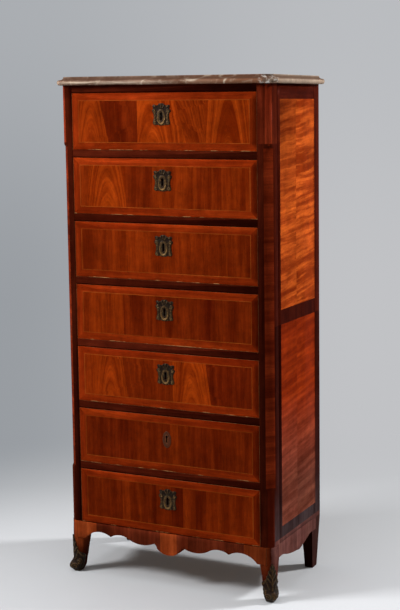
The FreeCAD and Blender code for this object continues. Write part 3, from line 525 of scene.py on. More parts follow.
def wood(finish, stain, grain, figure, seed, arch=0.0, heart=(0.0, 0.0, 0.0)):
    """Wood along a grain direction, straight or arched: stripes, fine lines and pores. Returns its colour,
    its height and its stripes."""
    place = finish.bent(finish.plus(finish.place, seed), 6.0, figure)
    place = finish.minus(place, finish.plus(heart, seed))
    along = finish.dot(place, grain)
    across = finish.minus(place, finish.scaled(grain, along))
    straight = finish.plus(across, finish.scaled(grain, finish.times(along, 0.06)))
    spread = finish.math("DIVIDE", finish.dot(across, across), finish.math("MAXIMUM", arch, 0.001))
    ring = finish.times(finish.math("ADD", along, spread), 0.5)
    arched = finish.plus(finish.scaled(across, 0.2), finish.scaled(grain, ring))
    drawn = finish.between(finish.math("GREATER_THAN", arch, 0.0), straight, arched)
    drawn = finish.plus(drawn, seed)
    broad = finish.noise(drawn, 16.0, 2.0)
    stripe = finish.noise(drawn, 52.0, 4.0, 0.6)
    line = finish.noise(drawn, 330.0, 3.0, 0.6)
    pore = finish.noise(finish.plus(straight, seed), 1500.0, 1.0)
    cloud = finish.noise(finish.place, 5.0, 2.0)
    mottle = finish.noise(finish.place, 34.0, 4.0, 0.6)
    strength = finish.span(figure, 0.9, 1.6, 0.005, 0.02)
    dark = finish.blend(1.0, stain, DARK_TINT, "MULTIPLY")
    light = finish.blend(1.0, stain, LIGHT_TINT, "MULTIPLY")
    shadow = finish.span(broad, 0.50, 0.0, 0.38, 0.56)
    streak = finish.span(stripe, 0.55, 0.0, 0.34, 0.56)
    gleam = finish.span(stripe, 0.0, 0.70, 0.50, 0.70)
    tone = stain
    for share, tint in ((shadow, dark), (streak, dark), (gleam, light)):
        tone = finish.blend(finish.times(share, strength), tone, tint)
    tone = finish.blend(finish.span(line, 0.32, 0.0, 0.34, 0.60), tone, dark)
    tone = finish.blend(finish.span(pore, 0.40, 0.0, 0.30, 0.40), tone, PORE)
    clouded = finish.span(cloud, 0.80, 1.18, 0.3, 0.7)
    mottled = finish.span(mottle, 0.82, 1.18, 0.3, 0.7)
    height = finish.math("ADD", line, finish.span(pore, 0.0, 0.6, 0.28, 0.42))
    return finish.scaled(tone, finish.times(clouded, mottled)), height, stripe


@made_once
def polished_veneer(finish):
    """Polished veneer; each face says how its leaf is coloured, laid, figured and rubbed, and where it
    bears a painted highlight.
    """
    told = {key: finish.attribute(key, output) for key, output in LEAF_OUTPUTS.items()}
    shaded, height, stripe = wood(finish, **told)
    # Pale in patches along the foot of each drawer, as bare wood and a painted highlight; small scuffs all
    # over.
    patch = finish.span(finish.noise(finish.place, 24.0, 5.0, 0.65), 0.0, 0.75, 0.52, 0.60)
    rubbed = finish.times(finish.attribute("wear", "Fac"), patch)
    scuff = finish.span(finish.noise(finish.place, 150.0, 5.0, 0.7), 0.0, 0.16, 0.68, 0.80)
    worn = finish.blend(finish.math("MAXIMUM", rubbed, scuff), shaded, colours().worn)
    finish.set(Base_Color=worn)
    finish.polish(stripe, 0.30, 0.44, metallic=0.05, specular=0.0)
    finish.bump(height, 0.00010)


@made_once
def plain_oak(finish):
    """Plain oak, waxed by use. A face may say how its grain runs; other grain runs across the chest, or to
    the back on boards that stand that way."""
    geometry = finish.add("ShaderNodeNewGeometry").outputs
    sideways = finish.math("ABSOLUTE", finish.dot(geometry["True Normal"], GRAIN_X))
    plain = finish.between(finish.math("GREATER_THAN", sideways, 0.7), GRAIN_X, GRAIN_Y)
    told = finish.attribute("grain", "Vector")
    grain = finish.between(finish.math("GREATER_THAN", finish.vector("LENGTH", told), 0.5), plain, told)
    seed = finish.scaled((3.1, 1.7, 2.3), finish.add("ShaderNodeObjectInfo").outputs["Random"])
    shaded, height, stripe = wood(finish, colours().oak, grain, 0.012, seed)
    finish.set(Base_Color=shaded)
    finish.polish(stripe, 0.52, 0.70, metallic=0.0, specular=0.25)
    finish.bump(height, 0.0002)


@made_once
def brown_marble(finish):
    """Brown marble with dark clouds, cream veins and a mended break at its right front corner, with painted
    shade under its top edge and a painted highlight along its bead.
    """
    bent = finish.bent(finish.place, 6.0, 0.16)
    cloud = finish.noise(bent, 11.0, 6.0, 0.62)
    fleck = finish.noise(bent, 80.0, 4.0, 0.6)
    tone = finish.blend(finish.span(cloud, 0.0, 1.0, 0.36, 0.58), colours().marble_dark, colours().marble)
    rightward = finish.dot(finish.place, GRAIN_X)
    frontward = finish.span(finish.dot(finish.place, GRAIN_Y), 1.0, 0.0, FRONT, FRONT + 0.06)
    brown = finish.times(finish.span(rightward, 0.0, 0.85, -0.05, 0.20), frontward)
    tone = finish.blend(brown, tone, colours().marble_brown)
    tone = finish.blend(finish.span(rightward, 0.0, 0.3, HALF - 0.02, HALF), tone, colours().vein)
    tone = finish.blend(finish.span(fleck, 0.0, 0.30, 0.54, 0.68), tone, colours().vein)
    veins = []
    for scale, width in ((8.0, 0.035), (34.0, 0.030)):
        inputs = {"Vector": bent, "Scale": scale, "Randomness": 1.0}
        edge = finish.add("ShaderNodeTexVoronoi", inputs, feature="DISTANCE_TO_EDGE").outputs["Distance"]
        veins.append(finish.span(edge, 1.0, 0.0, 0.0, width))
    pale = finish.times(veins[0], finish.span(cloud, 0.0, 0.9, 0.44, 0.62))
    tone = finish.blend(pale, tone, colours().vein)
    tone = finish.blend(finish.times(veins[1], 0.35), tone, DARK_VEIN)
    low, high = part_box("marble_top")
    level = finish.span(finish.dot(finish.place, GRAIN_Z), 0.0, 1.0, low.z, high.z)
    # A band just under the top edge is painted darker, as painted shade in the moulding's hollow.
    tone = finish.blend(finish.about(level, 0.70, 0.80, 0.12, 0.28), tone, colours().marble_dark)
    # A pale streak along the lower bead on the left, partly one of the stone's veins and partly a painted
    # highlight of the bead.
    drawn = finish.noise(finish.vector("MULTIPLY", finish.place, (3.0, 3.0, 40.0)), 3.0, 4.0, 0.6)
    leftward = finish.span(rightward, 0.8, 0.0, -0.20, 0.08)
    line = finish.times(finish.about(level, 0.25, 1.0, 0.06, 0.17), leftward)
    line = finish.times(line, finish.span(drawn, 0.0, 1.0, 0.40, 0.56))
    tone = finish.blend(line, tone, colours().vein)
    from_corner = finish.vector("LENGTH", finish.minus(finish.place, (HALF, FRONT, TOP)))
    broken = finish.span(from_corner, 1.0, 0.0, 0.012, 0.034)
    crack = finish.noise(finish.place, 75.0, 3.0, 0.7)
    tone = finish.blend(finish.times(broken, finish.span(crack, 0.0, 1.0, 0.52, 0.60)), tone, FILLER)
    tone = finish.blend(finish.times(broken, finish.span(crack, 1.0, 0.0, 0.36, 0.44)), tone, CRACK)
    finish.set(Base_Color=tone)
    finish.polish(fleck, 0.34, 0.50, metallic=0.05, specular=0.0)
    finish.bump(fleck, 0.00012)


def cast_metal(finish, hollow, relief):
    """Cast and chased metal, dark in its hollows and rubbed on its relief."""
    grain = finish.noise(finish.place, 420.0, 4.0, 0.65)
    patch = finish.noise(finish.place, 70.0, 3.0)
    share = finish.math("ADD", finish.attribute("rub", "Fac"), finish.span(grain, -0.42, 0.42, 0.25, 0.75))
    base = finish.blend(finish.span(share, 0.0, 1.0, 0.15, 0.95), hollow, relief)
    base = finish.blend(finish.span(patch, 0.0, 0.4, 0.52, 0.68), base, GRIME)
    finish.set(Base_Color=base)
    finish.polish(grain, 0.36, 0.60, metallic=0.4, specular=0.08)
    finish.bump(grain, 0.0002)


@made_once
def patinated_bronze(finish):
    """Dark bronze of the cast mounts."""
    cast_metal(finish, colours().bronze_dark, colours().bronze)


@made_once
def rubbed_brass(finish):
    """Reddish brass of the plain plate."""
    cast_metal(finish, colours().plate_dark, colours().plate)


@made_once
def forged_iron(finish):
    """Forged iron, filed bright in places and browned in others."""
    patch = finish.noise(finish.place, 60.0, 5.0, 0.65)
    scratch = finish.noise(finish.vector("MULTIPLY", finish.place, (1.0, 1.0, 14.0)), 180.0, 3.0)
    base = finish.blend(finish.span(patch, 0.0, 0.8, 0.44, 0.66), colours().iron, RUST)
    finish.set(Base_Color=base)
    finish.polish(scratch, 0.38, 0.66, metallic=0.9, specular=0.5)
    finish.bump(scratch, 0.0001)


def paint(node, material):
    """Gives a node of the frame one material all over."""
    slots = NODES[node].material_slots
    for slot in slots:
        slot.material = material
    if not slots:
        NODES[node].data.materials.append(material)


# Veneered pieces. A test of a place says whether faces with that middle and that normal are meant.


def mesh_piece(mesh, name, sharp, *materials):
    """Object with a finished mesh, whose edges stay sharp from an angle in degrees on."""
    data = bpy.data.meshes.new(name)
    mesh.to_mesh(data)
    mesh.free()
    data.set_sharp_from_angle(angle=math.radians(sharp))
    for material in materials:
        data.materials.append(material)
    return new_object(name, data)


def stand_for(piece, node, body):
    """Lets a piece move with a body in the place of a node of the frame."""
    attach(piece, body)
    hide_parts(node)


def seed_place(*numbers):
    """Place in the log for a leaf: spread out, and the same at every run."""
    total = sum(number * weight for number, weight in zip(numbers, (0.618, 3.171)))
    return Vector([math.modf(total * spread)[0] * 6 for spread in (1.0, 5.31, 9.17)])


def leaf_of(stain, shade, seed, grain=GRAIN_Z, figure=PLAIN_FIGURE, **more):
    """Leaf in one of the chest's colours, made darker or lighter."""
    return Leaf(dimmed(getattr(colours(), stain), shade), grain, figure, seed_place(*seed), **more)


def joints(axis, places, chosen):
    """Cuts through the chosen faces, square to an axis, at places along it."""
    return [(axis * place, axis, chosen) for place in places]


def cut_faces(mesh, place, normal, chosen):
    """Divides the chosen faces along a plane."""
    faces = [face for face in mesh.faces if chosen(face.calc_center_median(), face.normal)]
    edges = {edge for face in faces for edge in face.edges}
    corners = {corner for face in faces for corner in face.verts}
    bmesh.ops.bisect_plane(
        mesh, geom=[*corners, *edges, *faces], plane_co=place, plane_no=normal, dist=1e-7
    )


def stain_at(leaf, place):
    """Colour of a leaf at a place."""
    if leaf.left is None:
        return leaf.stain
    return mixed(leaf.faded, leaf.stain, min(max(leaf.left(place), 0), 1))


def veneered(node, name, run, cuts, lay, body="carcase"):
    """Copy of a node with its veneered faces divided along the joints of its leaves. lay gives a face's
    leaf from its middle and its normal, or None where the wood is bare; run is the bare wood's grain."""
    mesh = bmesh.new()
    mesh.from_mesh(NODES[node].data)
    bmesh.ops.remove_doubles(mesh, verts=mesh.verts, dist=SAME)
    for cut in cuts:
        cut_faces(mesh, *cut)
    bmesh.ops.dissolve_degenerate(mesh, edges=mesh.edges, dist=SAME)
    mesh.normal_update()
    stain = mesh.loops.layers.float_color.new("stain")
    face_layers = mesh.faces.layers
    layers = {key: face_layers.float_vector.new(key) for key in ("grain", "seed", "heart")}
    layers |= {key: face_layers.float.new(key) for key in ("figure", "wear", "arch")}
    for face in mesh.faces:
        leaf = lay(face.calc_center_median(), face.normal)
        face.material_index = 1 if leaf is None else 0
        face.smooth = max(abs(part) for part in face.normal) < 0.9999
        face[layers["grain"]] = run
        if leaf is not None:
            for key, layer in layers.items():
                face[layer] = getattr(leaf, key)
            for corner in face.loops:
                corner[stain] = (*stain_at(leaf, corner.vert.co), 1)
    stand_for(mesh_piece(mesh, name, SHARP_WOOD, polished_veneer(), plain_oak()), node, body)


def fronting(middle, normal):
    """Test for places that face the front."""
    return normal.y < -FACING


def outer_face(hand):
    """Test for places in the plane of a side; hand is 1 for the right side and -1 for the left one."""
    def outside(middle, normal):
        return normal.x * hand > FACING and abs(middle.x) > HALF - NEAR

    return outside


def hand_of(place):
    """1 on the right of the chest, -1 on its left."""
    return 1 if place.x > 0 else -1


def field_leaf(number, place, left, right, foot, head):
    """Leaf of a drawer's field at a place; the field's bounds are given."""
    rise = (place.z - foot) / (head - foot)
    start = left
    for order, (tone, figure, *shares) in enumerate(FIELD_LEAVES[number]):
        joint = left + (shares[-1] + (shares[0] - shares[-1]) * rise) * (right - left)
        if place.x < joint:
            break
        start = joint
    arch, middle_share = FLAMED_LEAVES.get((number, order), (0.0, 0.0))
    heart = Vector((start + (joint - start) * middle_share, place.y, foot))
    # Each drawer's leaves are dimmed by its own tone and by painted shade on the lower drawers.
    stain = dimmed(mixed(colours().field_dark, colours().field_light, tone), DRAWER_SHADES[number])
    return Leaf(stain, GRAIN_Z, figure, seed_place(number, order + 20), arch=arch, heart=heart)


def drawer_front(number):
    """Drawer front with a mitred band, a pale string and a field of leaves."""
    node = f"drawer_{number}_front"
    low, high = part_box(node)
    band = sizes().band
    inner = band + sizes().string
    # Top of the strip along the foot that is painted pale, as rubbed wood and a painted highlight.
    worn = low.z + sizes().worn_edge
    shade = DRAWER_SHADES[number]
    left, right = low.x + inner, high.x - inner
    foot, head = low.z + inner, high.z - inner
    key = high.z - sizes().key_drop

    def facing(middle, normal):
        return fronting(middle, normal) and middle.y < low.y + NEAR

    def in_field(middle, normal):
        return facing(middle, normal) and left < middle.x < right and foot < middle.z < head

    cuts = joints(GRAIN_Z, (worn, low.z + band, high.z - band, foot, head), facing)
    cuts += joints(GRAIN_X, (low.x + band, high.x - band, left, right), facing)
    for x, way_x in ((low.x, 1), (high.x, -1)):
        for z, way_z in ((low.z, 1), (high.z, -1)):
            def in_corner(middle, normal, x=x, z=z):
                return facing(middle, normal) and abs(middle.x - x) < inner and abs(middle.z - z) < inner

            cuts.append((Vector((x, 0, z)), Vector((way_z, 0, -way_x)), in_corner))
    for _, _, *shares in FIELD_LEAVES[number][:-1]:
        top = Vector((left + shares[0] * (right - left), 0, head))
        bottom = Vector((left + shares[-1] * (right - left), 0, foot))
        run = top - bottom
        cuts.append((bottom, Vector((run.z, 0, -run.x)), in_field))

    def lay(middle, normal):
        if not facing(middle, normal):
            # Walls of the keyhole are painted nearly black, as painted shade in the hole.
            drop = abs(middle.z - key)
            pierced = abs(middle.x) < sizes().keyhole_slot and drop < sizes().keyhole_length * 1.1
            return leaf_of("rail", 0.06, (number, 8), GRAIN_Y, 0.0) if pierced else None
        reaches = (middle.x - low.x, high.x - middle.x, middle.z - low.z, high.z - middle.z)
        nearest = min(reaches)
        side = reaches.index(nearest)
        along = GRAIN_Z if side < 2 else GRAIN_X
        # The bands are painted lighter at the head and darker on the right, as painted light and shade.
        if nearest < band:
            wear = 1.0 if middle.z < worn else 0.0
            return leaf_of("band", shade * BAND_SHADES[side], (number, side), along, wear=wear)
        if nearest < inner:
            return leaf_of("string", shade * 0.9, (number, 9), along, 0.0)
        return field_leaf(number, middle, left, right, foot, head)

    name = f"drawer_{number}_veneered_front"
    veneered(node, name, GRAIN_X, cuts, lay, f"drawer_{number}")


def side_leaf(middle):
    """Leaf of a side, at a place on its outer face."""
    from_front = middle.y - FRONT
    chest = sizes()
    stains = colours()
    log = 1 if middle.x > 0 else 2
    framed = from_front > chest.side_front_band and BACK - middle.y > chest.side_rear_band

    # Low down the leaves go greyer and darker, partly the veneer's fading and partly a painted reflection
    # of the pale floor.
    def left_by_level(place):
        return (place.z - chest.fade_low) / (chest.fade_high - chest.fade_low)

    def left_of_band(place):
        return (place.z - chest.side_foot_low) / chest.band_fade

    # Share left of the field's own colour under the painted shadow in its upper front corner.
    def left_of_corner(place):
        drop = (TOP - chest.side_top_band - place.z) / chest.shade_drop
        across = (place.y - FRONT - chest.side_front_band) / (chest.side_joint - chest.side_front_band)
        return max(drop, 0.6 * across)

    if middle.z < chest.side_foot_low:
        order = sum(from_front > joint for joint in LOW_JOINTS)
        return leaf_of("side_apron", LOW_SHADES[order], (log, order + 3))
    if middle.z < chest.side_foot_high and framed:
        return leaf_of("foot_band", 1.0, (log, 11), figure=0.003)
    if not framed:
        shade = 1.15 if middle.z > chest.side_middle_low else 0.62
        return leaf_of("side_band", shade, (log, 12), faded=stains.foot_band, left=left_of_band)
    if middle.z > TOP - chest.side_top_band:
        return leaf_of("side_band", 1.0, (log, 13), GRAIN_Y)
    if chest.side_middle_low < middle.z < chest.side_middle_high:
        return leaf_of("side_band", 1.0, (log, 14))
    upper = middle.z > chest.side_middle_high
    rear = from_front > chest.side_joint
    stain = dimmed(stains.side_field if upper else stains.side_lower, 1.0 if rear else 0.93)
    seed = seed_place(log, 15 + 2 * upper + rear)
    # The upper front field is painted darker in its upper front corner, as painted shadow.
    if upper and not rear:
        return Leaf(stain, SIDE_GRAIN, SIDE_FIGURE, seed, faded=dimmed(stain, 0.36), left=left_of_corner)
    faded = dimmed(stains.side_low, 0.95 if rear else 1.25)
    figure = SIDE_FIGURE if upper else LOW_SIDE_FIGURE
    return Leaf(stain, SIDE_GRAIN, figure, seed, faded=faded, left=left_by_level)


def side_cuts(hand):
    """Joints of a side's leaves, and levels for its fading."""
    chest = sizes()
    top_band = TOP - chest.side_top_band
    levels = (
        chest.side_foot_low, chest.side_foot_high, chest.side_middle_low, chest.side_middle_high,
        top_band, top_band - chest.shade_drop, chest.fade_low, chest.fade_high,
    )
    depths = (chest.side_front_band, chest.side_joint, BACK - FRONT - chest.side_rear_band, *LOW_JOINTS)
    cuts = joints(GRAIN_Z, levels, outer_face(hand))
    return cuts + joints(GRAIN_Y, [FRONT + depth for depth in depths], outer_face(hand))


def side_panel(name, hand):
    """Side in light leaves framed by dark bands."""
    outside = outer_face(hand)

    def lay(middle, normal):
        return side_leaf(middle) if outside(middle, normal) else None

    veneered(f"{name}_side_panel", f"{name}_veneered_side", GRAIN_Z, side_cuts(hand), lay)


def leg_leaf(hand, normal):
    """Leaf of a front leg, each face with its own painted light and shade by the way it looks: it darkens
    towards the foot, and as painted shade on the right leg towards the corner and on the inner faces
    towards the back."""
    out_x = normal.x * hand

    def left_by_level(place):
        return (place.z / BASE - 0.35) / 0.55

    def left_by_width(place):
        from_corner = (HALF - abs(place.x)) / sizes().leg_axis / 2
        return min(left_by_level(place), 0.10 + from_corner if hand > 0 else 1.0)

    def left_by_depth(place):
        return min(left_by_level(place), 1.0 - (place.y - FRONT) / sizes().leg_axis / 1.6)

    # Outer, inner, corner and front faces each take their own painted light and shade.
    if out_x > LEANING:
        stain, shade, order, left = "side_apron", 1.0, 41, left_by_level
    elif out_x < -LEANING:
        stain, shade, order, left = "leg", LEG_INNER_SHADES[hand], 42, left_by_depth
    else:
        shade = LEG_FRONT_SHADES[hand] if normal.y < -LEG_FACING else 0.4
        stain, order, left = "leg", 42, left_by_width
    return leaf_of(stain, shade, (hand, order), figure=WAVY_FIGURE, faded=colours().leg_foot, left=left)


def front_post(name, hand):
    """Front post: dark stiles, a cross-grain cant, rounded blocks and a light leg, with painted light and
    shade on its blocks and leg.
    """
    corner = Vector((hand, -1, 0)).normalized()
    cant_grain = Vector((1, hand, 0)).normalized()
    low = BASE + sizes().lower_block
    high = TOP - sizes().upper_block
    count = round((high - low) / sizes().cant_leaf)
    step = (high - low) / count

    def canted(middle, normal):
        return normal.dot(corner) > CANTED and low < middle.z < high

    def uncanted(middle, normal):
        return not canted(middle, normal)

    def left_by_level(place):
        return (place.z - BASE) / (high - BASE)

    def lay(middle, normal):
        out_x = normal.x * hand
        if middle.z < BASE:
            return leg_leaf(hand, normal)
        if normal.y > LEANING or out_x < -LEANING:
            return None
        if canted(middle, normal):
            order = int((middle.z - low) / step)
            shade = 0.80 + 0.45 * math.modf(order * 0.618)[0]
            return leaf_of("cant", shade, (hand, order + 50), cant_grain, WAVY_FIGURE)
        in_front, outward = normal.y < -FLUSH, out_x > FLUSH
        # The upper block is painted lit on its rounded faces and in painted shade on its front and outer
        # faces.
        if middle.z > high:
            shade = 0.40 if outward else BLOCK_FRONT_SHADES[hand] if in_front else 1.0
            return leaf_of("block", shade, (hand, 44))
        if in_front:
            faded = dimmed(colours().rail, 0.32)
            return leaf_of("rail", 0.65, (hand, 43), faded=faded, left=left_by_level)
        # Below, the lower block's rounded faces are painted in shade.
        return side_leaf(middle) if outward else leaf_of("block", 0.25, (hand, 44))

    cuts = side_cuts(hand)
    cuts += joints(GRAIN_Z, [low + step * order for order in range(1, count)], canted)
    cuts += joints(GRAIN_Z, [high], uncanted)
    veneered(f"{name}_front_post", f"{name}_veneered_front_post", GRAIN_Z, cuts, lay)


def rear_post(name, hand):
    """Rear post: a dark band on its outer face, a leg front painted nearly black as painted shade, bare
    wood behind and inside.
    """
    def lay(middle, normal):
        # The front of a rear leg is painted nearly black, as painted shade under the chest.
        if middle.z < BASE and normal.y < -LEANING:
            return leaf_of("leg", 0.05, (hand, 61))
        if normal.x * hand < LEANING:
            return None
        return leaf_of("side_apron", 0.4, (hand, 62)) if middle.z < BASE else side_leaf(middle)

    veneered(f"{name}_rear_post", f"{name}_veneered_rear_post", GRAIN_Z, side_cuts(hand), lay)


def front_apron():
    """Front apron: dark leaves, a light tablet on the pendant and light spandrels beside the legs; its top
    is painted dark as the shadow under the lowest drawer.
    """
    places = (sizes().tablet_half, *APRON_JOINTS, sizes().spandrel_inner)
    cuts = joints(GRAIN_X, [x * hand for x in places for _, hand in HANDS], fronting)

    def lay(middle, normal):
        # The apron's top is painted dark, as the shadow in the gap under the lowest drawer.
        if normal.z > FACING:
            return leaf_of("rail", 0.2, (3, 71), GRAIN_X)
        if normal.y > -FACING and normal.z > -0.2:
            return None
        order = sum(abs(middle.x) > place for place in places)
        hand = hand_of(middle)
        if order == 0:
            return leaf_of("leg", 1.15, (3, 70), figure=WAVY_FIGURE)
        # Beside each leg the apron follows the leg's painted light and shade.
        if order == len(places):
            return leg_leaf(hand, -GRAIN_Y)
        return leaf_of("apron", APRON_SHADES[order - 1], (hand, order + 70), figure=WAVY_FIGURE)

    veneered("front_apron", "veneered_front_apron", GRAIN_X, cuts, lay)


def side_aprons():
    """Side aprons in upright dark leaves."""
    depths = [FRONT + joint for joint in LOW_JOINTS]
    cuts = [cut for _, hand in HANDS for cut in joints(GRAIN_Y, depths, outer_face(hand))]

    def lay(middle, normal):
        outside = outer_face(hand_of(middle))
        return side_leaf(middle) if outside(middle, normal) or normal.z < -0.3 else None

    veneered("side_aprons", "veneered_side_aprons", GRAIN_Y, cuts, lay)


def drawer_rails():
    """Rails in dark veneer along their fronts, with painted shadow along their lower edges."""
    edge = sizes().dark_edge
    feet = [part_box(f"drawer_{number}_front")[1].z for number in DRAWERS]

    def lay(middle, normal):
        if not fronting(middle, normal):
            return None
        order = round((middle.z - BASE) / PITCH)
        # A strip along each rail's lower edge is painted dark, as the shadow over the gap above the drawer.
        in_gap_shadow = any(0 < middle.z - foot < edge for foot in feet)
        shade = RAIL_SHADES[order] * (GAP_SHADOW_SHADE if in_gap_shadow else 1.0)
        return leaf_of("rail", shade, (order, 81), GRAIN_X)

    cuts = joints(GRAIN_Z, [foot + edge for foot in feet], fronting)
    veneered("drawer_rails", "veneered_rails", GRAIN_X, cuts, lay)


# Bronze mounts.


def half_outline(shares, half_width, half_height, steps=6):
    """Closed outline from half of it: shares of the half width and half height from the foot to the top,
    each with the bulge of the edge that follows."""
    right = []
    for (x, z, bulge), (next_x, next_z, _) in zip(shares, shares[1:]):
        start = np.array((x * half_width, z * half_height))
        run = np.array((next_x * half_width, next_z * half_height)) - start
        across = np.array((run[1], -run[0]))
        for share in np.arange(steps) / steps:
            right.append(start + run * share + across * bulge * 2 * share * (1 - share))
    right.append(np.array((0.0, shares[-1][1] * half_height)))
    left = [point * (-1, 1) for point in right[-2:0:-1]]
    return np.array(right + left)


def ridge(points, line, width):
    """Share of a rounded ridge along a line, from 0 to 1, at each point."""
    line = np.array(line)
    start, run = line[:-1], np.diff(line, axis=0)
    reach = np.maximum((run**2).sum(1), 1e-16)
    away = points[:, None, :] - start[None]
    share = np.clip((away * run).sum(2) / reach, 0, 1)
    gap = np.linalg.norm(away - share[..., None] * run, axis=2).min(1)
    return np.exp(-((gap / width) ** 2))


def scroll(centre, radius, turns, start, hand, steps=28):
    """Spiral line that winds in towards its centre."""
    share = np.linspace(0, 1, steps)
    angle = start + hand * share * turns * 2 * math.pi
    reach = radius * (1 - 0.86 * share)
    return np.stack([centre[0] + reach * np.cos(angle), centre[1] + reach * np.sin(angle)], 1)


def carved(points, lines, scrolls):
    """Relief of lines and scrolls, from 0 to 1, at each point of a grid; both halves are alike."""
    across, level = points.reshape(-1, 2).T
    flat = np.stack([np.abs(across), level], 1)
    ridges = [*lines, *((scroll(*form), width, weight) for *form, width, weight in scrolls)]
    relief = np.max([weight * ridge(flat, line, width) for line, width, weight in ridges], axis=0)
    return relief.reshape(points.shape[:2])


def keyhole_reach(angle, rise):
    """How far a keyhole reaches from its middle, in a direction; rise is the round end above the middle."""
    chest = sizes()
    x, z = math.cos(angle), math.sin(angle)
    inside = (z * rise) ** 2 - rise**2 + chest.keyhole_radius**2
    round_end = z * rise + math.sqrt(inside) if inside > 0 else 0.0
    bounds = [chest.keyhole_slot / 2 / max(abs(x), 1e-6)]
    if z > 0:
        bounds.append(rise / z)
    if z < 0:
        bounds.append((rise - chest.keyhole_length) / z)
    return max(round_end, min(bounds))


def relief_piece(name, front, back, rub, material, wraps):
    """Closed piece between two grids of points, with the rub of each front point; rows may wrap round."""
    rows, columns = front.shape[:2]
    mesh = bmesh.new()
    layer = mesh.verts.layers.float.new("rub")
    sheets = []
    for grid, rubs in ((front, rub), (back, np.zeros_like(rub))):
        verts = [mesh.verts.new(point) for point in grid.reshape(-1, 3)]
        for vert, share in zip(verts, rubs.ravel()):
            vert[layer] = share
        sheets.append([verts[row * columns:(row + 1) * columns] for row in range(rows)])

    def strip(first, second, near, far):
        mesh.faces.new((first[near], first[far], second[far], second[near]))

    for column in range(columns if wraps else columns - 1):
        after = (column + 1) % columns
        for sheet in sheets:
            for first, second in zip(sheet, sheet[1:]):
                strip(first, second, column, after)
        for row in (0, rows - 1):
            strip(sheets[0][row], sheets[1][row], column, after)
    if not wraps:
        for column in (0, columns - 1):
            ends = [[line[column] for line in sheet] for sheet in sheets]
            for row in range(rows - 1):
                strip(*ends, row, row + 1)
    for face in mesh.faces:
        face.smooth = True
    bmesh.ops.recalc_face_normals(mesh, faces=mesh.faces)
    return mesh_piece(mesh, name, SHARP_METAL, material)


def keyhole_plate(number, name, material, outline_of, relief_of, rings):
    """Pierced plate on a drawer. outline_of gives its outline from its half width and half height.
    relief_of gives height and rub at each point, from the points about the keyhole and their shares of the
    way from it to the edge."""
    low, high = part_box(f"drawer_{number}_escutcheon")
    middle = (low + high) / 2
    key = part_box(f"drawer_{number}_front")[1].z - sizes().key_drop
    rise = (sizes().keyhole_length - sizes().keyhole_radius) / 2
    hole = np.array((0.0, key - rise - middle.z))
    outline = outline_of((high.x - low.x) / 2, (high.z - low.z) / 2) - hole
    angles = np.arctan2(outline[:, 1], outline[:, 0])
    reaches = np.array([keyhole_reach(angle, rise) for angle in angles])
    inner = np.stack([np.cos(angles), np.sin(angles)], 1) * reaches[:, None]
    shares = np.linspace(0, 1, rings)
    points = inner[None] + (outline - inner)[None] * shares[:, None, None]
    heights, rub = relief_of(points, shares)
    back = np.empty((*points.shape[:2], 3))
    back[..., 0] = points[..., 0] + middle.x
    back[..., 1] = high.y
    back[..., 2] = points[..., 1] + middle.z + hole[1]
    front = back.copy()
    front[..., 1] -= heights
    piece = relief_piece(name, front, back, rub, material, wraps=True)
    stand_for(piece, f"drawer_{number}_escutcheon", f"drawer_{number}")


def from_middle(points, half_width, half_height, drop):
    """Distance of each point from the middle of an oval, in which the oval itself lies at 1."""
    return np.hypot(points[..., 0] / half_width, (points[..., 1] + drop) / half_height)


def cast_relief(points, shares):
    """Relief of a cast mount: a rimmed shield round the keyhole, with scrolls, a crest and a leaf, and
    painted shade round the keyhole in its rub.
    """
    chest = sizes()
    height = points[..., 1]
    oval = from_middle(points, *SHIELD_OVAL)
    shield = np.clip((1.12 - oval) / 0.2, 0, 1)
    # Painted shade round the keyhole, which lowers the rub there and darkens the bronze.
    hollow = np.exp(-from_middle(points, *KEYHOLE_SHADE_OVAL) ** 6)
    crest = np.clip((height - 0.014) / 0.006, 0, 1)
    lower = np.clip((0.002 - height) / 0.010, 0, 1)
    rim = (0.15 + 0.85 * lower) * np.exp(-(((oval - 1) / 0.12) ** 2))
    relief = np.maximum(rim, carved(points, MOUNT_LINES, MOUNT_SCROLLS))
    edge = np.clip((1 - shares) / 0.10, 0, 1)[:, None] ** 0.5
    lip = np.clip(shares / 0.08, 0, 1)[:, None] ** 0.5
    raised = chest.mount_ground * lip + shield * chest.shield_relief + relief * chest.mount_relief
    rub = 0.12 + 0.60 * relief + 0.22 * shield - 0.9 * hollow - 0.2 * crest
    return chest.mount_edge + edge * raised, rub


def cast_mount(number):
    """Cast keyhole mount."""
    def outline(half_width, half_height):
        return half_outline(MOUNT_SHARES, half_width, half_height)

    name = f"drawer_{number}_cast_mount"
    keyhole_plate(number, name, patinated_bronze(), outline, cast_relief, CAST_RINGS)


def plate_relief(points, shares):
    """Relief of the plain plate: bevelled at its edge and raised a little round the keyhole."""
    bevel = np.clip((1 - shares) / 0.14, 0.15, 1) ** 0.5
    collar = np.exp(-((shares / 0.16) ** 2))
    profile = sizes().plate_wall * bevel + sizes().plate_collar * collar
    rub = 0.25 + 0.5 * np.exp(-((shares / 0.2) ** 2))
    return [np.repeat(level[:, None], points.shape[1], 1) for level in (profile, rub)]


def plain_plate(number):
    """Plain oval keyhole plate."""
    def outline(half_width, half_height):
        angles = np.linspace(0, 2 * math.pi, PLATE_STEPS, endpoint=False)
        return np.stack([half_width * np.cos(angles), half_height * np.sin(angles)], 1)

    name = f"drawer_{number}_plain_plate"
    keyhole_plate(number, name, rubbed_brass(), outline, plate_relief, PLATE_RINGS)


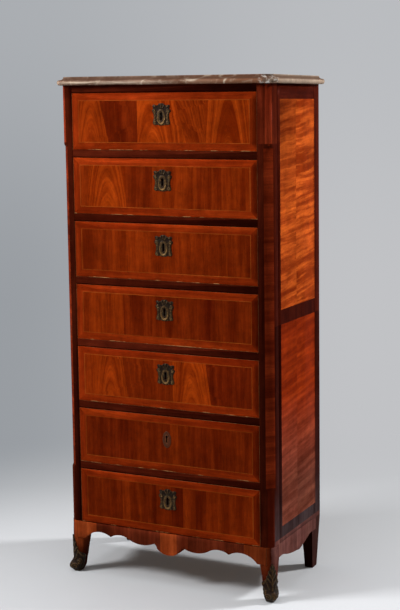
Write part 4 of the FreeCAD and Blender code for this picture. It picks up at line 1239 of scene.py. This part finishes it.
def foot_mount(name, hand):
    """Foot mount: a shell round the foot of a leg, with a ribbed leaf, rolled edges and a scrolled toe."""
    source = NODES[f"{name}_front_post"].data
    leg = BVHTree.FromPolygons(
        [vert.co for vert in source.vertices], [face.vertices for face in source.polygons]
    )
    chest = sizes()
    node = f"{name}_sabot"
    low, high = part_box(node)
    corner = Vector((hand, -1, 0)).normalized()
    axis = Vector((hand * (HALF - chest.leg_axis), FRONT + chest.leg_axis, 0))
    levels = np.linspace(low.z + NEAR, high.z - NEAR, FOOT_ROWS)
    reaches = np.radians(np.interp(levels, *zip(*FOOT_OUTLINE)))
    shares = np.linspace(-1, 1, FOOT_COLUMNS)
    back = np.empty((len(levels), len(shares), 3))
    ways = np.empty_like(back)
    for row, (level, reach) in enumerate(zip(levels, reaches)):
        middle = axis + GRAIN_Z * level
        for column, share in enumerate(shares):
            way = Matrix.Rotation(share * reach, 3, "Z") @ corner
            back[row, column] = leg.ray_cast(middle, way)[0] + way * 2 * NEAR
            ways[row, column] = way
    wall = ways * chest.foot_wall
    normals = np.cross(np.gradient(back + wall, axis=1), np.gradient(back + wall, axis=0))
    normals /= np.maximum(np.linalg.norm(normals, axis=2, keepdims=True), 1e-12)
    normals *= np.sign((normals * ways).sum(2, keepdims=True))
    across = shares[None] * reaches[:, None] * chest.leg_axis
    points = np.stack([across, np.repeat(levels[:, None], len(shares), 1)], 2)
    relief = carved(points, FOOT_LINES, FOOT_SCROLLS)
    edge = np.clip((1 - np.abs(shares)) / 0.08, 0, 1)[None, :, None] ** 0.5
    front = back + wall * (0.35 + 0.65 * edge) + normals * relief[..., None] * edge * chest.foot_relief
    front[..., 2] = np.maximum(front[..., 2], low.z)
    rub = 0.50 * relief - 0.06
    piece = relief_piece(f"{name}_cast_foot_mount", front, back, rub, patinated_bronze(), wraps=False)
    stand_for(piece, node, "carcase")


# Pins and screws.


def set_out(node, shares, ahead):
    """Places about the middle of a node, by shares of its width and height, ahead of its rear face."""
    low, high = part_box(node)
    middle, size = (low + high) / 2, high - low
    return [(middle.x + across * size.x, high.y - ahead, middle.z + up * size.z) for across, up in shares]


class HeadTree(Nodes):
    """Geometry nodes that set a small head on each point: a low dome, or a screw head with its slot."""

    def __init__(self, name, slotted, material):
        super().__init__(bpy.data.node_groups.new(name, "GeometryNodeTree"))
        sockets = self.tree.interface
        sockets.new_socket("Geometry", in_out="INPUT", socket_type="NodeSocketGeometry")
        radius = sockets.new_socket("Head Radius", in_out="INPUT", socket_type="NodeSocketFloat")
        height = sockets.new_socket("Head Height", in_out="INPUT", socket_type="NodeSocketFloat")
        sockets.new_socket("Geometry", in_out="OUTPUT", socket_type="NodeSocketGeometry")
        self.radius, self.height = radius.identifier, height.identifier
        given = self.add("NodeGroupInput").outputs
        head = self.screw(given) if slotted else self.dome(given)
        forward = {"Euler": (math.radians(-90), 0, 0)}
        turn = self.add("FunctionNodeEulerToRotation", forward).outputs["Rotation"]
        inputs = {"Points": given["Geometry"], "Instance": head, "Rotation": turn}
        heads = self.add("GeometryNodeInstanceOnPoints", inputs).outputs["Instances"]
        real = self.add("GeometryNodeRealizeInstances", {"Geometry": heads}).outputs["Geometry"]
        skin = self.add("GeometryNodeSetMaterial", {"Geometry": real, "Material": material})
        self.add("NodeGroupOutput", {"Geometry": skin.outputs["Geometry"]})

    def dome(self, given):
        inputs = {"Segments": 14, "Rings": 8, "Radius": given["Head Radius"]}
        return self.add("GeometryNodeMeshUVSphere", inputs).outputs["Mesh"]

    def screw(self, given):
        inputs = {"Vertices": 20, "Radius": given["Head Radius"], "Depth": given["Head Height"]}
        body = self.add("GeometryNodeMeshCylinder", inputs).outputs["Mesh"]
        size = {
            "X": self.times(given["Head Radius"], 3.0),
            "Y": self.times(given["Head Radius"], 0.28),
            "Z": self.times(given["Head Height"], 0.8),
        }
        slot = self.add("GeometryNodeMeshCube", {"Size": self.add("ShaderNodeCombineXYZ", size).outputs[0]})
        rise = self.add("ShaderNodeCombineXYZ", {"Z": self.times(given["Head Height"], 0.5)})
        moved = {"Geometry": slot.outputs["Mesh"], "Translation": rise.outputs[0]}
        slot = self.add("GeometryNodeTransform", moved).outputs["Geometry"]
        cut = self.add("GeometryNodeMeshBoolean", {"Mesh 1": body, "Mesh 2": slot}, operation="DIFFERENCE")
        return cut.outputs["Mesh"]

    def set_heads(self, name, places, radius, height, slot, body):
        """Plain mesh with a head at each place, which moves with a body."""
        base = bpy.data.meshes.new(name)
        base.from_pydata(places, [], [])
        piece = new_object(name, base)
        modifier = piece.modifiers.new("heads", "NODES")
        modifier.node_group = self.tree
        modifier[self.radius] = radius
        modifier[self.height] = height
        graph = bpy.context.evaluated_depsgraph_get()
        piece.data = bpy.data.meshes.new_from_object(piece.evaluated_get(graph))
        piece.modifiers.clear()
        bpy.data.meshes.remove(base)
        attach(piece, body)


# Stage.


def lay_floor():
    """Pale floor that keeps the shadow near the chest, is painted darker further back as painted shade, and
    fades into the backdrop further off.
    """
    reach = FLOOR_REACH
    corners = [(-reach, -reach, 0), (reach, -reach, 0), (reach, reach, 0), (-reach, reach, 0)]
    data = bpy.data.meshes.new("floor")
    data.from_pydata(corners, [], [(0, 1, 2, 3)])
    floor = new_object("floor", data)
    finish = Finish("pale_floor")
    speck = finish.span(finish.noise(finish.place, 3.0, 3.0), 0.0, 1.0, 0.3, 0.7)
    tone = finish.blend(speck, dimmed(colours().floor, 0.97), colours().floor)
    # Painted shade: the floor is painted darker further back along the view.
    ahead = finish.span(finish.dot(finish.place, VIEW_AHEAD), 0.0, 1.0, -0.3, 0.9)
    tone = finish.blend(ahead, tone, dimmed(colours().floor, 0.66))
    finish.set(Base_Color=tone, Roughness=0.85, Specular_IOR_Level=0.2)
    way = finish.vector("NORMALIZE", finish.minus(finish.place, CAMERA_PLACE))
    glow = finish.add("ShaderNodeEmission", {"Color": finish.wall_tone(way)})
    far = finish.span(finish.vector("LENGTH", finish.place), 0.0, 1.0, 0.5, 1.7, "SMOOTHSTEP")
    finish.mix_surface("Material Output", finish.times(finish.seen_directly(), far), finish.shader, glow)
    data.materials.append(finish.material)


def set_world(scene):
    """Even light from all round; seen directly, the world is the backdrop."""
    world = bpy.data.worlds.new("studio")
    world.use_nodes = True
    nodes = Nodes(world.node_tree)
    light = nodes.tree.nodes["Background"]
    light.inputs["Color"].default_value = (1, 1, 1, 1)
    light.inputs["Strength"].default_value = WORLD_STRENGTH
    way = nodes.add("ShaderNodeTexCoord").outputs["Generated"]
    wall = nodes.add("ShaderNodeBackground", {"Color": nodes.wall_tone(way)})
    nodes.mix_surface("World Output", nodes.seen_directly(), light, wall)
    scene.world = world


def set_lights():
    """A light from the right and behind, one from the left and the front, and a broad one overhead."""
    for name, (place, aim, width, watts) in LIGHTS.items():
        data = bpy.data.lights.new(name, "AREA")
        data.size = width
        data.energy = watts
        lamp = new_object(name, data)
        lamp.location = place
        lamp.rotation_euler = (Vector(aim) - Vector(place)).to_track_quat("-Z", "Y").to_euler()


def set_camera(scene):
    """Camera where the photograph was taken from, with the photograph's frame."""
    yaw, pitch, roll = (math.radians(angle) for angle in CAMERA_TURN)
    ahead = Vector((math.sin(yaw) * math.cos(pitch), math.cos(yaw) * math.cos(pitch), math.sin(pitch)))
    level = Vector((math.cos(yaw), -math.sin(yaw), 0))
    upward = level.cross(ahead)
    right = math.cos(roll) * level + math.sin(roll) * upward
    up = -math.sin(roll) * level + math.cos(roll) * upward
    frame_width, frame_height = CAMERA_FRAME
    data = bpy.data.cameras.new("camera")
    data.sensor_width = SENSOR_WIDTH
    data.lens = CAMERA_FOCAL / frame_height * SENSOR_WIDTH
    data.shift_x = (frame_width / 2 - CAMERA_CENTRE[0]) / frame_height
    data.shift_y = (CAMERA_CENTRE[1] - frame_height / 2) / frame_height
    camera = new_object("camera", data)
    turn = Matrix((right, up, -ahead)).transposed().to_4x4()
    camera.matrix_world = Matrix.Translation(CAMERA_PLACE) @ turn
    scene.camera = camera


# Operators.


class CHEST_OT_drawer_fronts(bpy.types.Operator):
    """Veneers the seven drawer fronts"""

    bl_idname = "chest.drawer_fronts"
    bl_label = "Drawer fronts"

    def execute(self, context):
        for number in DRAWERS:
            drawer_front(number)
        return {"FINISHED"}


class CHEST_OT_drawer_linings(bpy.types.Operator):
    """Gives the drawer sides, backs and bottoms their oak"""

    bl_idname = "chest.drawer_linings"
    bl_label = "Drawer linings"

    def execute(self, context):
        for number in DRAWERS:
            paint(f"drawer_{number}_box", plain_oak())
            paint(f"drawer_{number}_bottom", plain_oak())
        return {"FINISHED"}


class CHEST_OT_carcase_boards(bpy.types.Operator):
    """Gives the boards inside and behind the carcase their oak"""

    bl_idname = "chest.carcase_boards"
    bl_label = "Carcase boards"

    def execute(self, context):
        for node in OAK_BOARDS:
            paint(node, plain_oak())
        return {"FINISHED"}


class CHEST_OT_posts(bpy.types.Operator):
    """Veneers the four posts and their legs"""

    bl_idname = "chest.posts"
    bl_label = "Posts"

    def execute(self, context):
        for name, hand in HANDS:
            front_post(name, hand)
            rear_post(name, hand)
        return {"FINISHED"}


class CHEST_OT_sides(bpy.types.Operator):
    """Veneers the two sides"""

    bl_idname = "chest.sides"
    bl_label = "Sides"

    def execute(self, context):
        for name, hand in HANDS:
            side_panel(name, hand)
        return {"FINISHED"}


class CHEST_OT_rails(bpy.types.Operator):
    """Veneers the rails between the drawers"""

    bl_idname = "chest.rails"
    bl_label = "Rails"

    def execute(self, context):
        drawer_rails()
        return {"FINISHED"}


class CHEST_OT_aprons(bpy.types.Operator):
    """Veneers the front apron and the side aprons"""

    bl_idname = "chest.aprons"
    bl_label = "Aprons"

    def execute(self, context):
        front_apron()
        side_aprons()
        return {"FINISHED"}


class CHEST_OT_slab(bpy.types.Operator):
    """Gives the slab its marble"""

    bl_idname = "chest.slab"
    bl_label = "Marble slab"

    def execute(self, context):
        paint("marble_top", brown_marble())
        return {"FINISHED"}


class CHEST_OT_keyhole_mounts(bpy.types.Operator):
    """Models the cast keyhole mounts and the plain plate"""

    bl_idname = "chest.keyhole_mounts"
    bl_label = "Keyhole mounts"

    def execute(self, context):
        for number in DRAWERS:
            make = plain_plate if number == PLAIN_PLATE_DRAWER else cast_mount
            make(number)
        return {"FINISHED"}


class CHEST_OT_foot_mounts(bpy.types.Operator):
    """Models the cast foot mounts"""

    bl_idname = "chest.foot_mounts"
    bl_label = "Foot mounts"

    def execute(self, context):
        for name, hand in HANDS:
            foot_mount(name, hand)
        return {"FINISHED"}


class CHEST_OT_pins(bpy.types.Operator):
    """Sets the pins that hold the keyhole mounts"""

    bl_idname = "chest.pins"
    bl_label = "Pins"

    def execute(self, context):
        radius = sizes().pin_radius
        tree = HeadTree("pin_heads", False, patinated_bronze())
        for number in DRAWERS:
            body = f"drawer_{number}"
            shares = PLATE_PINS if number == PLAIN_PLATE_DRAWER else CAST_PINS
            places = set_out(f"{body}_escutcheon", shares, radius)
            tree.set_heads(f"{body}_mount_pins", places, radius, radius, "bronze", body)
        return {"FINISHED"}


class CHEST_OT_locks(bpy.types.Operator):
    """Gives the locks and bolts their iron, and sets the lock screws"""

    bl_idname = "chest.locks"
    bl_label = "Locks"

    def execute(self, context):
        radius, height = sizes().screw_radius, sizes().screw_height
        tree = HeadTree("screw_heads", True, forged_iron())
        for number in DRAWERS:
            body = f"drawer_{number}"
            paint(f"{body}_lock", forged_iron())
            paint(f"{body}_bolt", forged_iron())
            places = set_out(f"{body}_lock", LOCK_SCREWS, 0.0)
            tree.set_heads(f"{body}_lock_screws", places, radius, height, "iron", body)
        return {"FINISHED"}


class CHEST_OT_stage(bpy.types.Operator):
    """Lays the floor and sets the lights and the camera"""

    bl_idname = "chest.stage"
    bl_label = "Stage"

    def execute(self, context):
        lay_floor()
        set_world(context.scene)
        set_lights()
        set_camera(context.scene)
        context.scene.view_settings.view_transform = "Standard"
        return {"FINISHED"}


OPERATORS = (
    CHEST_OT_drawer_fronts, CHEST_OT_drawer_linings, CHEST_OT_carcase_boards, CHEST_OT_posts,
    CHEST_OT_sides, CHEST_OT_rails, CHEST_OT_aprons, CHEST_OT_slab, CHEST_OT_keyhole_mounts,
    CHEST_OT_foot_mounts, CHEST_OT_pins, CHEST_OT_locks, CHEST_OT_stage,
)


class CHEST_PT_panel(bpy.types.Panel):
    """Lists the pieces of the chest in the sidebar"""

    bl_idname = "CHEST_PT_panel"
    bl_label = "Semainier"
    bl_space_type = "VIEW_3D"
    bl_region_type = "UI"
    bl_category = "Semainier"

    def draw(self, context):
        for operator in OPERATORS:
            self.layout.operator(operator.bl_idname)
        for settings in (context.scene.chest_sizes, context.scene.chest_colours):
            column = self.layout.column(align=True)
            for key in settings.__annotations__:
                column.prop(settings, key, text=key.replace("_", " ").capitalize())


CLASSES = (ChestSizes, ChestColours, *OPERATORS, CHEST_PT_panel)


def register():
    for each in CLASSES:
        bpy.utils.register_class(each)
    bpy.types.Scene.chest_sizes = PointerProperty(type=ChestSizes)
    bpy.types.Scene.chest_colours = PointerProperty(type=ChestColours)


def unregister():
    del bpy.types.Scene.chest_colours
    del bpy.types.Scene.chest_sizes
    for each in reversed(CLASSES):
        bpy.utils.unregister_class(each)


def main():
    register()
    bpy.ops.chest.drawer_fronts()
    bpy.ops.chest.drawer_linings()
    bpy.ops.chest.carcase_boards()
    bpy.ops.chest.posts()
    bpy.ops.chest.sides()
    bpy.ops.chest.rails()
    bpy.ops.chest.aprons()
    bpy.ops.chest.slab()
    bpy.ops.chest.keyhole_mounts()
    bpy.ops.chest.foot_mounts()
    bpy.ops.chest.pins()
    bpy.ops.chest.locks()
    bpy.ops.chest.stage()


if __name__ == "__main__":
    main()
